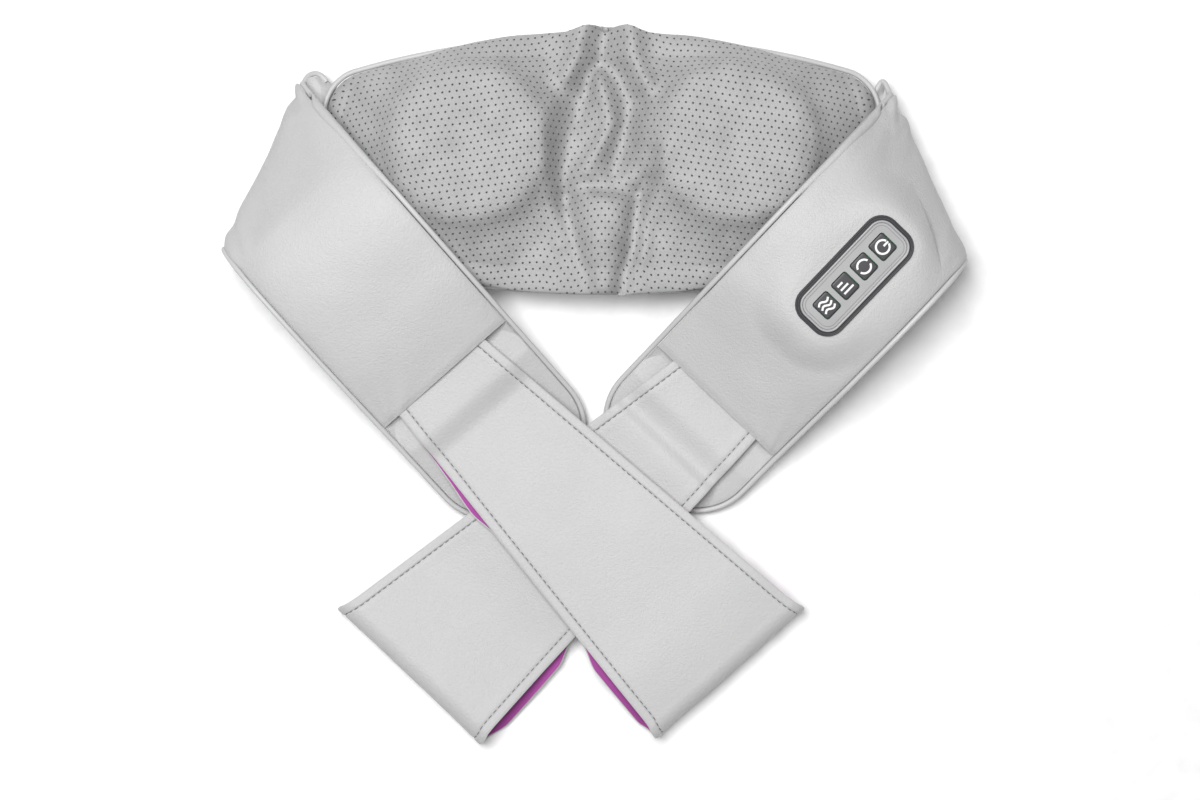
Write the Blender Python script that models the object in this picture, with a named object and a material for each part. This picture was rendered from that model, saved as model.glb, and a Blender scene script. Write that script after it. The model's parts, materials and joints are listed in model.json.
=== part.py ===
"""Shiatsu neck massager: a padded shawl with two kneading heads, lying on its back.

A worm on the motor's shaft turns two compound gears, and each of them turns a head
with two large and two small massage nodes.  Both wings are folded back over the
body's ends, and each carries a hand loop that comes out of a pocket.
Sizes are in millimetres and become metres as the meshes are made.  The finished
object stands with the bottom centre of its box on the world origin.
"""
import math
from dataclasses import dataclass

import bmesh
import bpy
from mathutils import Matrix, Vector

MM = 0.001
GAP = 0.4

# Body cover
BODY_CENTRE = (5.0, 168.0)
BODY_LENGTH = 410.0
BODY_WIDTH = 186.0
BAND_WIDTH = 127.0
END_ROUNDING = 22.0
SEAM_HEIGHT = 38.0
SEAM_END_HEIGHT = 25.0
COVER_THICKNESS = 1.2
BACK_THICKNESS = 1.5
COVER_CLEARANCE = 2.2
VALLEY_HEIGHT = 62.0
EDGE_FULLNESS = 10
BACK_FLAT = 0.765
BODY_ROWS = 36
BODY_COLUMNS = 20
HOUSING_POINTS = 40
PIPING_RADIUS = 2.0

# Kneading mechanism
HEAD_OFFSET = 12.0
HEAD_TILT = math.radians(8.0)
NODE_CIRCLE = 41.5
NODE_RADIUS = 18.5
DOME_RADIUS = 11.0
DOME_CIRCLE = 37.0
LEFT_ARM_TURN = math.radians(12.0)
RIGHT_ARM_TURN = math.radians(-5.5)
WORM_HEIGHT = 25.0
WORM_MODULE = 2.0
WORM_PITCH_RADIUS = 7.0
WORM_LENGTH = 27.0
WHEEL_TEETH = 30
WHEEL_FACE = 7.0
HEAD_MODULE = 2.5
PINION_TEETH = 12
HEAD_TEETH = 36
HEAD_FACE = 6.0
HEAD_HALF_TOOTH = 1.35
WHEEL_HALF_TOOTH = 1.1
SHAFT_RADIUS = 2.0
AXLE_RADIUS = 3.0
AXLE_FOOT = 9.0
POST_RADIUS = 6.0
POST_BORE = 3.5
LENS_RADIUS = 9.0
MOTOR_RADIUS = 14.0
MOTOR_LENGTH = 30.0
MOTOR_CLEARANCE = 1.0
ARM_THICKNESS = 6.0
PIN_RADIUS = 4.0

# Housings
WALL = 3.0
HOUSING_LENGTH = 304.0
HOUSING_WIDTH = 116.0
HOUSING_OFFSET = 7.0
HOUSING_FLOOR = 3.0
HOUSING_SPLIT = 30.0
DECK_DISTANCE = MOTOR_RADIUS + GAP
HEAD_OPENING = 24.0
SCREW_RADIUS = 1.5
SCREW_HEAD_RADIUS = 3.0
SCREW_X = 138.0
SCREW_Y = 37.0
JACK_RADIUS = 5.0
JACK_BORE = 3.1
JACK_DEPTH = 10.0
JACK_SIDES = 16
JACK_X = 62.0
JACK_HEIGHT = 21.0

# Wings
WING_SKIN = 1.2
WING_HALF_THICKNESS = 8.0
TIP_HALF_THICKNESS = 3.2
TIP_ROUNDING = 47.0
TIP_CLEARANCE = 6.0
WING_CLEARANCE = 1.5
WING_SEAM = 0.5
FOLD_SEAM = 4.0
FOAM_CLEARANCE = 2.4
PANEL_INSET = 2 * PIPING_RADIUS + GAP
GUSSET_THICKNESS = 8.0
GUSSET_TOP_RADIUS = 14.0
GUSSET_BOTTOM_RADIUS = 28.0
GUSSET_TOP_TURN = math.radians(50.0)
GUSSET_BOTTOM_TURN = math.radians(75.0)
BAND_HEIGHT = 15.0
POCKET_DEPTH = 40.0
POCKET_DROP = 3.3
HINGE_HEIGHT = 45.0

# Hand loops
LOOP_LENGTH = 305.0
LOOP_ROOT_WIDTH = 84.0
LOOP_END_WIDTH = 143.0
LOOP_SKIN = 1.5
LINING_SKIN = 0.9
LOOP_PRESSED = 6.4

# Control panel
PANEL_LENGTH = 96.0
PANEL_WIDTH = 41.0
PANEL_ALONG = 98.0
PANEL_ACROSS = -8.0
PANEL_CORNER = 14.0
BEZEL_RIM = 5.0
KEY_LENGTH = 14.0
KEY_WIDTH = 15.5
KEY_PITCH = 19.0
KEY_CLEARANCE = 0.5
KEY_TRAVEL = 0.8
KEY_NAMES = ("power", "direction", "intensity", "heat")

COLOURS = {
    "leather": ((0.62, 0.61, 0.60), 0.45, 0.0),
    "mesh": ((0.42, 0.42, 0.42), 0.8, 0.0),
    "purple": ((0.42, 0.10, 0.36), 0.7, 0.0),
    "foam": ((0.75, 0.73, 0.68), 0.9, 0.0),
    "housing": ((0.12, 0.12, 0.13), 0.5, 0.0),
    "gear": ((0.80, 0.79, 0.74), 0.4, 0.0),
    "node": ((0.30, 0.28, 0.32), 0.45, 0.0),
    "steel": ((0.62, 0.62, 0.63), 0.3, 1.0),
    "brass": ((0.70, 0.52, 0.25), 0.35, 1.0),
    "lens": ((0.65, 0.06, 0.05), 0.15, 0.0),
    "board": ((0.05, 0.22, 0.10), 0.5, 0.0),
    "bezel": ((0.09, 0.09, 0.10), 0.6, 0.0),
    "face": ((0.55, 0.55, 0.56), 0.4, 0.0),
    "key": ((0.07, 0.07, 0.08), 0.5, 0.0),
}


# ---------------------------------------------------------------- mesh helpers
def clear_scene():
    """Remove every object of the open file."""
    for old in list(bpy.data.objects):
        bpy.data.objects.remove(old, do_unlink=True)


def material(kind):
    """Return the Principled material of a kind, made on first use."""
    found = bpy.data.materials.get(kind)
    if found:
        return found
    colour, roughness, metallic = COLOURS[kind]
    made = bpy.data.materials.new(kind)
    made.use_nodes = True
    shader = made.node_tree.nodes["Principled BSDF"]
    shader.inputs["Base Color"].default_value = (*colour, 1.0)
    shader.inputs["Roughness"].default_value = roughness
    shader.inputs["Metallic"].default_value = metallic
    return made


def empty(name, place, parent=None):
    """Add an empty at a world matrix in millimetres, as a joint's axis."""
    made = bpy.data.objects.new(name, None)
    bpy.context.collection.objects.link(made)
    metres = place.copy()
    metres.translation *= MM
    made.matrix_world = metres
    bpy.context.view_layer.update()
    if parent:
        made.parent = parent
        made.matrix_parent_inverse = parent.matrix_world.inverted()
    return made


def solid(name, verts, faces, kind, parent, place=None):
    """Add one closed mesh.  Vertices are in the frame `place`, or in the world when it is None."""
    place = place or Matrix.Identity(4)
    world = [place @ Vector(v) * MM for v in verts]
    parent_inverse = parent.matrix_world.inverted()
    mesh = bpy.data.meshes.new(name)
    mesh.from_pydata([parent_inverse @ v for v in world], [], faces)
    work = bmesh.new()
    work.from_mesh(mesh)
    bmesh.ops.remove_doubles(work, verts=work.verts, dist=0.01 * MM)
    bmesh.ops.recalc_face_normals(work, faces=work.faces)
    if work.calc_volume(signed=True) < 0:
        bmesh.ops.reverse_faces(work, faces=work.faces)
    work.to_mesh(mesh)
    work.free()
    mesh.shade_smooth()
    mesh.set_sharp_from_angle(angle=math.radians(35.0))
    mesh.materials.append(material(kind))
    made = bpy.data.objects.new(name, mesh)
    bpy.context.collection.objects.link(made)
    made.parent = parent
    return made


def apply_boolean(target, tool, operation, solver="EXACT"):
    """Join or cut a solid with a tool, which is removed afterwards."""
    step = target.modifiers.new("cut", "BOOLEAN")
    step.operation = operation
    step.object = tool
    step.solver = solver
    step.solver = "EXACT"
    step.solver = solver
    bpy.context.view_layer.update()
    result = bpy.data.meshes.new_from_object(target.evaluated_get(bpy.context.evaluated_depsgraph_get()))
    target.modifiers.remove(step)
    work = bmesh.new()
    work.from_mesh(result)
    bmesh.ops.remove_doubles(work, verts=work.verts, dist=0.004 * MM)
    bmesh.ops.dissolve_degenerate(work, edges=work.edges, dist=0.004 * MM)
    work.to_mesh(result)
    work.free()
    target.data = result
    result.name = target.name
    bpy.data.objects.remove(tool, do_unlink=True)


def slab(upper, lower):
    """Closed body between two grids of points of one size: vertices and faces."""
    rows = len(upper)
    columns = len(upper[0])
    verts = [p for row in upper for p in row] + [p for row in lower for p in row]
    half = rows * columns
    faces = []
    for i in range(rows - 1):
        for j in range(columns - 1):
            k = i * columns + j
            faces.append((k, k + 1, k + columns + 1, k + columns))
            faces.append((half + k, half + k + columns, half + k + columns + 1, half + k + 1))
    rim = [j for j in range(columns)]
    rim += [i * columns + columns - 1 for i in range(1, rows)]
    rim += [(rows - 1) * columns + j for j in range(columns - 2, -1, -1)]
    rim += [i * columns for i in range(rows - 2, 0, -1)]
    for k, a in enumerate(rim):
        b = rim[(k + 1) % len(rim)]
        faces.append((a, b, half + b, half + a))
    return verts, faces


def rings(loops, closed=False):
    """Closed body through loops of points of one count, capped unless it closes on itself."""
    count = len(loops[0])
    verts = [p for loop in loops for p in loop]
    faces = []
    spans = len(loops) if closed else len(loops) - 1
    for i in range(spans):
        base = i * count
        following = ((i + 1) % len(loops)) * count
        for j in range(count):
            k = (j + 1) % count
            faces.append((base + j, base + k, following + k, following + j))
    if not closed:
        faces.append(tuple(range(count)))
        faces.append(tuple(range(len(verts) - count, len(verts))))
    return verts, faces


def turned(profile, segments, closed=False):
    """Body turned round local Z from (radius, height) points; a zero radius makes a pole."""
    verts = []
    hoops = []
    for radius, height in profile:
        if radius < 1e-6:
            hoops.append([len(verts)] * segments)
            verts.append((0.0, 0.0, height))
            continue
        hoops.append(list(range(len(verts), len(verts) + segments)))
        for k in range(segments):
            angle = 2.0 * math.pi * k / segments
            verts.append((radius * math.cos(angle), radius * math.sin(angle), height))
    faces = []
    pairs = list(zip(hoops, hoops[1:] + hoops[:1])) if closed else list(zip(hoops, hoops[1:]))
    for first, second in pairs:
        for k in range(segments):
            m = (k + 1) % segments
            corners = [first[k], first[m], second[m], second[k]]
            unique = list(dict.fromkeys(corners))
            if len(unique) > 2:
                faces.append(tuple(unique))
    return verts, faces


def rod(radius, low, high, segments=16):
    """Cylinder round local Z between two heights."""
    return turned([(0, low), (radius, low), (radius, high), (0, high)], segments)


def box(low, high):
    """Box between two corners."""
    corners = [[(x, y, z) for x, y in ((low[0], low[1]), (high[0], low[1]), (high[0], high[1]),
                                       (low[0], high[1]))] for z in (low[2], high[2])]
    return rings(corners)


def extruded(outline, low, high, twist=0.0):
    """Prism of a flat outline round local Z, turned by twist radians per millimetre."""
    loops = []
    for z in (low, high):
        turn = Matrix.Rotation(twist * z, 2)
        loops.append([(*(turn @ Vector(p)), z) for p in outline])
    return rings(loops)


def tube(path, radius, sides, closed=False):
    """Round tube along a path that never runs straight up."""
    loops = []
    count = len(path)
    for i, point in enumerate(path):
        before = path[(i - 1) % count] if closed or i else path[i]
        after = path[(i + 1) % count] if closed or i < count - 1 else path[i]
        along = (Vector(after) - Vector(before)).normalized()
        across = along.cross(Vector((0, 0, 1))).normalized()
        up = across.cross(along)
        angles = [2.0 * math.pi * k / sides for k in range(sides)]
        loops.append([Vector(point) + radius * (across * math.cos(a) + up * math.sin(a)) for a in angles])
    return rings(loops, closed)


def smooth(points, x):
    """Monotone cubic curve through (x, y) points, level beyond both ends."""
    if x <= points[0][0]:
        return points[0][1]
    if x >= points[-1][0]:
        return points[-1][1]
    secants = [(b[1] - a[1]) / (b[0] - a[0]) for a, b in zip(points, points[1:])]
    slopes = [secants[0]]
    for a, b in zip(secants, secants[1:]):
        slopes.append(2.0 * a * b / (a + b) if a * b > 0 else 0.0)
    slopes.append(secants[-1])
    k = max(i for i in range(len(secants)) if points[i][0] <= x)
    width = points[k + 1][0] - points[k][0]
    s = (x - points[k][0]) / width
    rise = points[k + 1][1] - points[k][1]
    bend = slopes[k] * width * s * (1 - s) ** 2 - slopes[k + 1] * width * s * s * (1 - s)
    return points[k][1] + rise * s * s * (3 - 2 * s) + bend


def mix(low, high, share):
    """Linear step from low to high."""
    return low + (high - low) * share


def rounded_rectangle(length, width, corner, steps=5):
    """Outline of a rectangle with round corners, centred on the origin."""
    points = []
    for k, (sx, sy) in enumerate(((1, 1), (-1, 1), (-1, -1), (1, -1))):
        for i in range(steps + 1):
            angle = math.pi / 2 * (k + i / steps)
            points.append((sx * (length / 2 - corner) + corner * math.cos(angle),
                           sy * (width / 2 - corner) + corner * math.sin(angle)))
    return points


# ---------------------------------------------------------------- mechanism sizes
WHEEL_PITCH_RADIUS = WORM_MODULE * WHEEL_TEETH / 2
PINION_PITCH_RADIUS = HEAD_MODULE * PINION_TEETH / 2
HEAD_PITCH_RADIUS = HEAD_MODULE * HEAD_TEETH / 2
WORM_LEAD = math.pi * WORM_MODULE
WHEEL_DISTANCE = WORM_PITCH_RADIUS + WHEEL_PITCH_RADIUS
HEAD_DISTANCE = WHEEL_DISTANCE + PINION_PITCH_RADIUS + HEAD_PITCH_RADIUS
HEAD_X = HEAD_DISTANCE * math.cos(HEAD_TILT)
PINION_LOW = WHEEL_FACE / 2
PINION_HIGH = PINION_LOW + HEAD_FACE + 2.0
HEAD_LOW = PINION_LOW + 1.0
HEAD_HIGH = HEAD_LOW + HEAD_FACE
DECK_TOP = DECK_DISTANCE + WALL
ARM_LOW = DECK_TOP + 1.2
ARM_HIGH = ARM_LOW + ARM_THICKNESS
NODE_BASE = ARM_HIGH + 1.0
NODE_HEIGHT = NODE_BASE + 0.43 * NODE_RADIUS
SWEEP = NODE_CIRCLE + NODE_RADIUS


def mechanism_origin():
    """Middle of the worm's axis."""
    return Vector((BODY_CENTRE[0], BODY_CENTRE[1] + HEAD_OFFSET, WORM_HEIGHT))


def gear_frame(side, distance):
    """Frame of an axis that crosses the tilted gear plane; side is -1 on the left."""
    out = Vector((side * math.cos(HEAD_TILT), 0, math.sin(HEAD_TILT)))
    up = Vector((-side * math.sin(HEAD_TILT), 0, math.cos(HEAD_TILT)))
    across = up.cross(out)
    frame = Matrix((out, across, up)).transposed().to_4x4()
    frame.translation = mechanism_origin() + out * distance
    return frame


def node_top():
    """Highest point that a large node reaches as its head turns."""
    head = gear_frame(1, HEAD_DISTANCE)
    centre = head @ Vector((NODE_CIRCLE, 0, NODE_HEIGHT))
    return centre.z + NODE_RADIUS


# ---------------------------------------------------------------- body shape
def half_width(x, inset=0.0):
    """Half the body's width at a distance x from its middle."""
    half = BODY_LENGTH / 2 - inset
    share = min(abs(x) / half, 1.0)
    width = mix(BAND_WIDTH / 2, BODY_WIDTH / 2, 1.0 - share ** 2.2) - inset
    start = half - END_ROUNDING
    if abs(x) > start:
        run = min(abs(x) - start, END_ROUNDING)
        width -= END_ROUNDING - math.sqrt(END_ROUNDING ** 2 - run ** 2)
    return width


def seam_height(x):
    """Height of the seam round the body."""
    share = abs(x) / (BODY_LENGTH / 2)
    return mix(SEAM_HEIGHT, SEAM_END_HEIGHT, share ** 2)


def crown(x, y):
    """Height that the front cover would have without its edges, at a place from the body's middle."""
    top = node_top() + COVER_CLEARANCE + COVER_THICKNESS
    radius = math.hypot(abs(x) - HEAD_X, y - HEAD_OFFSET)
    head = smooth([(0, top + 1), (NODE_CIRCLE + 2, top), (SWEEP - 7, top - 4), (SWEEP - 2, top - 10),
                   (SWEEP + 3, top - 19), (SWEEP + 12, top - 30), (SWEEP + 36, VALLEY_HEIGHT - 10)], radius)
    middle = mix(SEAM_END_HEIGHT, VALLEY_HEIGHT, max(1.0 - (abs(x) / HEAD_X) ** 2 / 2.2, 0.0))
    return max(head, middle)


def cover_edge(across, along):
    """Share of the front cover's rise that is left near its edges."""
    return (1.0 - abs(across) ** EDGE_FULLNESS) ** 0.45 * (1.0 - abs(along) ** 12) ** 0.5


def cover_height(x, y):
    """Top of the front cover at a place measured from the body's middle."""
    inset = PIPING_RADIUS + GAP
    across = min(abs(y) / half_width(x, inset), 1.0)
    along = min(abs(x) / (BODY_LENGTH / 2 - inset), 1.0)
    seam = seam_height(x) + GAP
    return seam + max(crown(x, y) - seam, 0.0) * cover_edge(across, along)


def spread(step, count):
    """Share from -1 to 1 of a grid line, closer together beyond the flat of the back."""
    place = 2.0 * step / count - 1.0
    part = abs(place)
    if part <= 0.5:
        share = BACK_FLAT * part / 0.5
    else:
        share = mix(BACK_FLAT, 1.0, 1.0 - (2.0 - 2.0 * part) ** 2)
    return math.copysign(share, place)


def body_grid(height, inset, rows, columns):
    """Grid of points over the body's outline, with its height from a function of x, y and share."""
    grid = []
    for i in range(rows + 1):
        along = spread(i, rows)
        x = (BODY_LENGTH / 2 - inset) * along
        width = half_width(x, inset)
        line = []
        for j in range(columns + 1):
            across = spread(j, columns)
            y = width * across
            line.append(Vector((BODY_CENTRE[0] + x, BODY_CENTRE[1] + y, height(x, y, across, along))))
        grid.append(line)
    return grid


def build_front_cover(root):
    """Stretched mesh over both heads, one skin thick."""
    inset = PIPING_RADIUS + GAP

    def skin(thickness):
        def height(x, y, across, along):
            seam = seam_height(x) + GAP
            return seam + max(crown(x, y) - thickness - seam, 0.0) * cover_edge(across, along)
        return body_grid(height, inset + thickness, BODY_ROWS, BODY_COLUMNS)
    verts, faces = slab(skin(0.0), skin(COVER_THICKNESS))
    return solid("mesh_cover", verts, faces, "mesh", root)


def back_share(across, along):
    """Rise of the back cover from its flat (0) to the seam (1)."""
    side = max(abs(across) - BACK_FLAT, 0.0) / (1.0 - BACK_FLAT)
    end = max(abs(along) - BACK_FLAT, 0.0) / (1.0 - BACK_FLAT)
    return 1.0 - (1.0 - side ** 2) * (1.0 - end ** 2)


def build_back_cover(root):
    """Leather back, flat where the massager lies, with a hole for the inlet."""
    inset = PIPING_RADIUS + GAP

    def skin(thickness):
        def height(x, y, across, along):
            return mix(thickness, seam_height(x) - GAP, back_share(across, along))
        return body_grid(height, inset + thickness, BODY_ROWS, BODY_COLUMNS)
    verts, faces = slab(skin(BACK_THICKNESS), skin(0.0))
    made = solid("back_cover", verts, faces, "leather", root)
    apply_boolean(made, inlet_cutter(root), "DIFFERENCE", "MANIFOLD")
    return made


def body_outline(inset, rows):
    """Closed outline of the body at the seam."""
    stations = [spread(i, rows) * (BODY_LENGTH / 2 - inset) for i in range(rows + 1)]
    there = [(x, half_width(x, inset)) for x in stations]
    back = [(x, -half_width(x, inset)) for x in reversed(stations)]
    return [Vector((BODY_CENTRE[0] + x, BODY_CENTRE[1] + y, seam_height(x))) for x, y in there + back]


def build_body_piping(root):
    """Piping along the seam between the front and back covers."""
    verts, faces = tube(body_outline(0.0, BODY_ROWS), PIPING_RADIUS, 6, closed=True)
    return solid("body_piping", verts, faces, "leather", root)


def oval(length, width, power, angle):
    """Point of a rounded oval in a direction."""
    c = math.cos(angle)
    s = math.sin(angle)
    reach = (abs(2 * c / length) ** power + abs(2 * s / width) ** power) ** (-1.0 / power)
    return Vector((reach * c, reach * s))


def build_foam_surround(root):
    """Foam ring between the housings and the covers, with a hole for the inlet."""
    low = BACK_THICKNESS + 14.0
    high = SEAM_HEIGHT
    width = BODY_WIDTH - 2 * 17.0
    length = BODY_LENGTH - 2 * 32.0
    centre = Vector(BODY_CENTRE)
    shift = Vector((0, HOUSING_OFFSET))
    outer = []
    inner = []
    for k in range(HOUSING_POINTS):
        angle = 2.0 * math.pi * k / HOUSING_POINTS
        outer.append(centre + oval(length, width, 3.0, angle))
        inner.append(centre + shift + oval(HOUSING_LENGTH + 2 * GAP, HOUSING_WIDTH + 2 * GAP, 6.0, angle))
    loops = [[(*p, low) for p in outer], [(*p, high) for p in outer],
             [(*p, high) for p in inner], [(*p, low) for p in inner]]
    verts, faces = rings(loops, closed=True)
    made = solid("foam_surround", verts, faces, "foam", root)
    apply_boolean(made, inlet_cutter(root), "DIFFERENCE")
    return made


# ---------------------------------------------------------------- housings
def inlet_frame():
    """Frame of the DC inlet, local Z pointing out of the housing's lower side."""
    frame = Matrix.Rotation(math.radians(90.0), 4, "X")
    wall = BODY_CENTRE[1] + HOUSING_OFFSET - HOUSING_WIDTH / 2
    frame.translation = Vector((BODY_CENTRE[0] + JACK_X, wall, JACK_HEIGHT))
    return frame


def inlet_reach():
    """Length of the inlet from the housing's wall to just outside the back cover."""
    wall = HOUSING_WIDTH / 2 - HOUSING_OFFSET
    return half_width(JACK_X) - wall - 4.0


def inlet_cutter(root):
    """Clearance cylinder for the inlet."""
    verts, faces = rod(JACK_RADIUS + GAP, GAP / 2, inlet_reach() + 30.0, JACK_SIDES)
    return solid("inlet_cutter", verts, faces, "housing", root, inlet_frame())


def build_inlet(root):
    """Round low-voltage inlet with a blind socket bore."""
    reach = inlet_reach()
    floor = reach - JACK_DEPTH
    profile = [(0, GAP), (JACK_RADIUS, GAP), (JACK_RADIUS, reach),
               (JACK_BORE, reach), (JACK_BORE, floor), (0, floor)]
    verts, faces = turned(profile, JACK_SIDES)
    return solid("dc_jack", verts, faces, "housing", root, inlet_frame())


def housing_loop(inset, z):
    """Outline of the housings at a height, or at a height given by a function of x."""
    points = []
    for k in range(HOUSING_POINTS):
        angle = 2.0 * math.pi * k / HOUSING_POINTS
        flat = oval(HOUSING_LENGTH - 2 * inset, HOUSING_WIDTH - 2 * inset, 6.0, angle)
        height = z(flat.x) if callable(z) else z
        points.append(Vector((BODY_CENTRE[0] + flat.x, BODY_CENTRE[1] + HOUSING_OFFSET + flat.y, height)))
    return points


def screw_places():
    """Centres of the four housing screws."""
    middle = BODY_CENTRE[1] + HOUSING_OFFSET
    return [Vector((BODY_CENTRE[0] + sx * SCREW_X, middle + sy * SCREW_Y, 0.0))
            for sx, sy in ((-1, 1), (1, 1), (-1, -1), (1, -1))]


def build_rear_housing(root):
    """Tray with sockets for the posts and axles, screw bosses and a motor cradle."""
    loops = [housing_loop(0, HOUSING_FLOOR), housing_loop(0, HOUSING_SPLIT),
             housing_loop(WALL, HOUSING_SPLIT), housing_loop(WALL, HOUSING_FLOOR + WALL)]
    verts, faces = rings(loops)
    tray = solid("rear_housing", verts, faces, "housing", root)
    sunk = HOUSING_FLOOR + WALL / 2
    for side in (-1, 1):
        for distance, radius, bore, high in (
                (WHEEL_DISTANCE, AXLE_RADIUS + 3.0, AXLE_RADIUS + GAP, -WHEEL_FACE / 2 - 1.5),
                (HEAD_DISTANCE, POST_RADIUS + 3.0, POST_RADIUS + GAP, HEAD_LOW - 1.0)):
            frame = gear_frame(side, distance)
            low = (sunk - frame.translation.z) / math.cos(HEAD_TILT)
            verts, faces = rod(radius, low, high)
            apply_boolean(tray, solid("socket", verts, faces, "housing", root, frame), "UNION")
            verts, faces = rod(bore, high - 8.0, high + 5.0)
            apply_boolean(tray, solid("socket_bore", verts, faces, "housing", root, frame), "DIFFERENCE")
    for place in screw_places():
        verts, faces = rod(SCREW_HEAD_RADIUS + 2.0, sunk, HOUSING_FLOOR + 7.0)
        apply_boolean(tray, solid("boss", verts, faces, "housing", root, Matrix.Translation(place)), "UNION")
        step = HOUSING_FLOOR + WALL + GAP
        profile = [(0, 0), (SCREW_HEAD_RADIUS + GAP, 0), (SCREW_HEAD_RADIUS + GAP, step),
                   (SCREW_RADIUS + GAP, step), (SCREW_RADIUS + GAP, 15), (0, 15)]
        verts, faces = turned(profile, 12)
        apply_boolean(tray, solid("bore", verts, faces, "housing", root, Matrix.Translation(place)), "DIFFERENCE")
    motor = motor_frame()
    for distance in (0.25, 0.75):
        y = motor.translation.y - MOTOR_LENGTH * distance
        x = BODY_CENTRE[0]
        verts, faces = box((x - MOTOR_RADIUS - 3, y - 1.5, sunk),
                           (x + MOTOR_RADIUS + 3, y + 1.5, WORM_HEIGHT - 3))
        apply_boolean(tray, solid("rib", verts, faces, "housing", root), "UNION")
    verts, faces = rod(MOTOR_RADIUS + GAP, -3.0, MOTOR_LENGTH + 3.0, 20)
    apply_boolean(tray, solid("cradle", verts, faces, "housing", root, motor), "DIFFERENCE")
    return tray


def deck_height(distance):
    """Height of the tilted deck over a place x, at a distance from the worm's axis."""
    def height(x):
        return WORM_HEIGHT + distance / math.cos(HEAD_TILT) + abs(x) * math.tan(HEAD_TILT)
    return height


def build_front_housing(root):
    """Lid with a deck that follows both gear planes, two head openings and four screw posts."""
    low = HOUSING_SPLIT + GAP
    outer = housing_loop(0, deck_height(DECK_TOP))
    inner = housing_loop(WALL, deck_height(DECK_DISTANCE))
    loops = [outer, housing_loop(0, low), housing_loop(WALL, low), inner]
    verts = [p for loop in loops for p in loop]
    count = len(outer)
    faces = []
    for i in range(3):
        for j in range(count):
            k = (j + 1) % count
            faces.append((i * count + j, i * count + k, (i + 1) * count + k, (i + 1) * count + j))
    for j in range(count // 2):
        mirror = (count - j) % count
        before = (count - j - 1) % count
        for base in (0, 3 * count):
            corners = list(dict.fromkeys((base + j, base + j + 1, base + before, base + mirror)))
            if len(corners) > 2:
                faces.append(tuple(corners))
    lid = solid("front_housing", verts, faces, "housing", root)
    for side in (-1, 1):
        verts, faces = rod(HEAD_OPENING, DECK_DISTANCE - 8.0, DECK_TOP + 8.0, 28)
        cutter = solid("opening", verts, faces, "housing", root, gear_frame(side, HEAD_DISTANCE))
        apply_boolean(lid, cutter, "DIFFERENCE")
    deck = deck_height(DECK_DISTANCE + WALL / 2)(SCREW_X)
    for place in screw_places():
        verts, faces = rod(SCREW_RADIUS + 2.0, HOUSING_FLOOR + 7.0 + GAP, deck, 12)
        apply_boolean(lid, solid("post", verts, faces, "housing", root, Matrix.Translation(place)), "UNION")
        verts, faces = rod(SCREW_RADIUS + GAP, 0, 26.0, 12)
        apply_boolean(lid, solid("bore", verts, faces, "housing", root, Matrix.Translation(place)), "DIFFERENCE")
    return lid


def build_screws(root):
    """Four pan head screws that hold the housings together from behind."""
    low = HOUSING_FLOOR + GAP
    step = HOUSING_FLOOR + WALL
    for k, place in enumerate(screw_places()):
        profile = [(0, low), (SCREW_HEAD_RADIUS, low), (SCREW_HEAD_RADIUS, step), (SCREW_RADIUS, step),
                   (SCREW_RADIUS, 23.0), (0, 24.5)]
        verts, faces = turned(profile, 10)
        solid(f"housing_screw_{k + 1}", verts, faces, "steel", root, Matrix.Translation(place))


# ---------------------------------------------------------------- motor and worm
def motor_frame():
    """Frame of the motor, local Z running from its front face towards its end cap."""
    frame = Matrix.Rotation(math.radians(90.0), 4, "X")
    tip = WHEEL_PITCH_RADIUS + WORM_MODULE
    front = math.sqrt(tip ** 2 - (WHEEL_DISTANCE - MOTOR_RADIUS) ** 2) + MOTOR_CLEARANCE
    frame.translation = mechanism_origin() + Vector((0, -front, 0))
    return frame


def build_motor(root):
    """Motor can with its shaft bore, end cap, and the bearing block of the worm's free end."""
    bore = SHAFT_RADIUS + GAP
    profile = [(0, 14), (bore, 14), (bore, 0),
               (MOTOR_RADIUS, 0), (MOTOR_RADIUS, MOTOR_LENGTH), (0, MOTOR_LENGTH)]
    verts, faces = turned(profile, 20)
    solid("motor_can", verts, faces, "steel", root, motor_frame())
    low = MOTOR_LENGTH + GAP
    cap = [(0, low), (MOTOR_RADIUS - 1, low), (MOTOR_RADIUS - 1, low + 3),
           (5, low + 3), (5, low + 5), (0, low + 5)]
    verts, faces = turned(cap, 16)
    solid("motor_end_cap", verts, faces, "housing", root, motor_frame())
    origin = mechanism_origin()
    near = WORM_LENGTH / 2 + 2.0
    floor = HOUSING_FLOOR + WALL + GAP
    verts, faces = box((origin.x - 8, origin.y + near, floor),
                       (origin.x + 8, origin.y + near + 6, WORM_HEIGHT + 8))
    block = solid("worm_bearing", verts, faces, "brass", root)
    verts, faces = rod(SHAFT_RADIUS + GAP, -near - 10.0, -near + 5.0)
    frame = Matrix.Rotation(math.radians(90.0), 4, "X")
    frame.translation = origin
    apply_boolean(block, solid("bore", verts, faces, "brass", root, frame), "DIFFERENCE")


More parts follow.
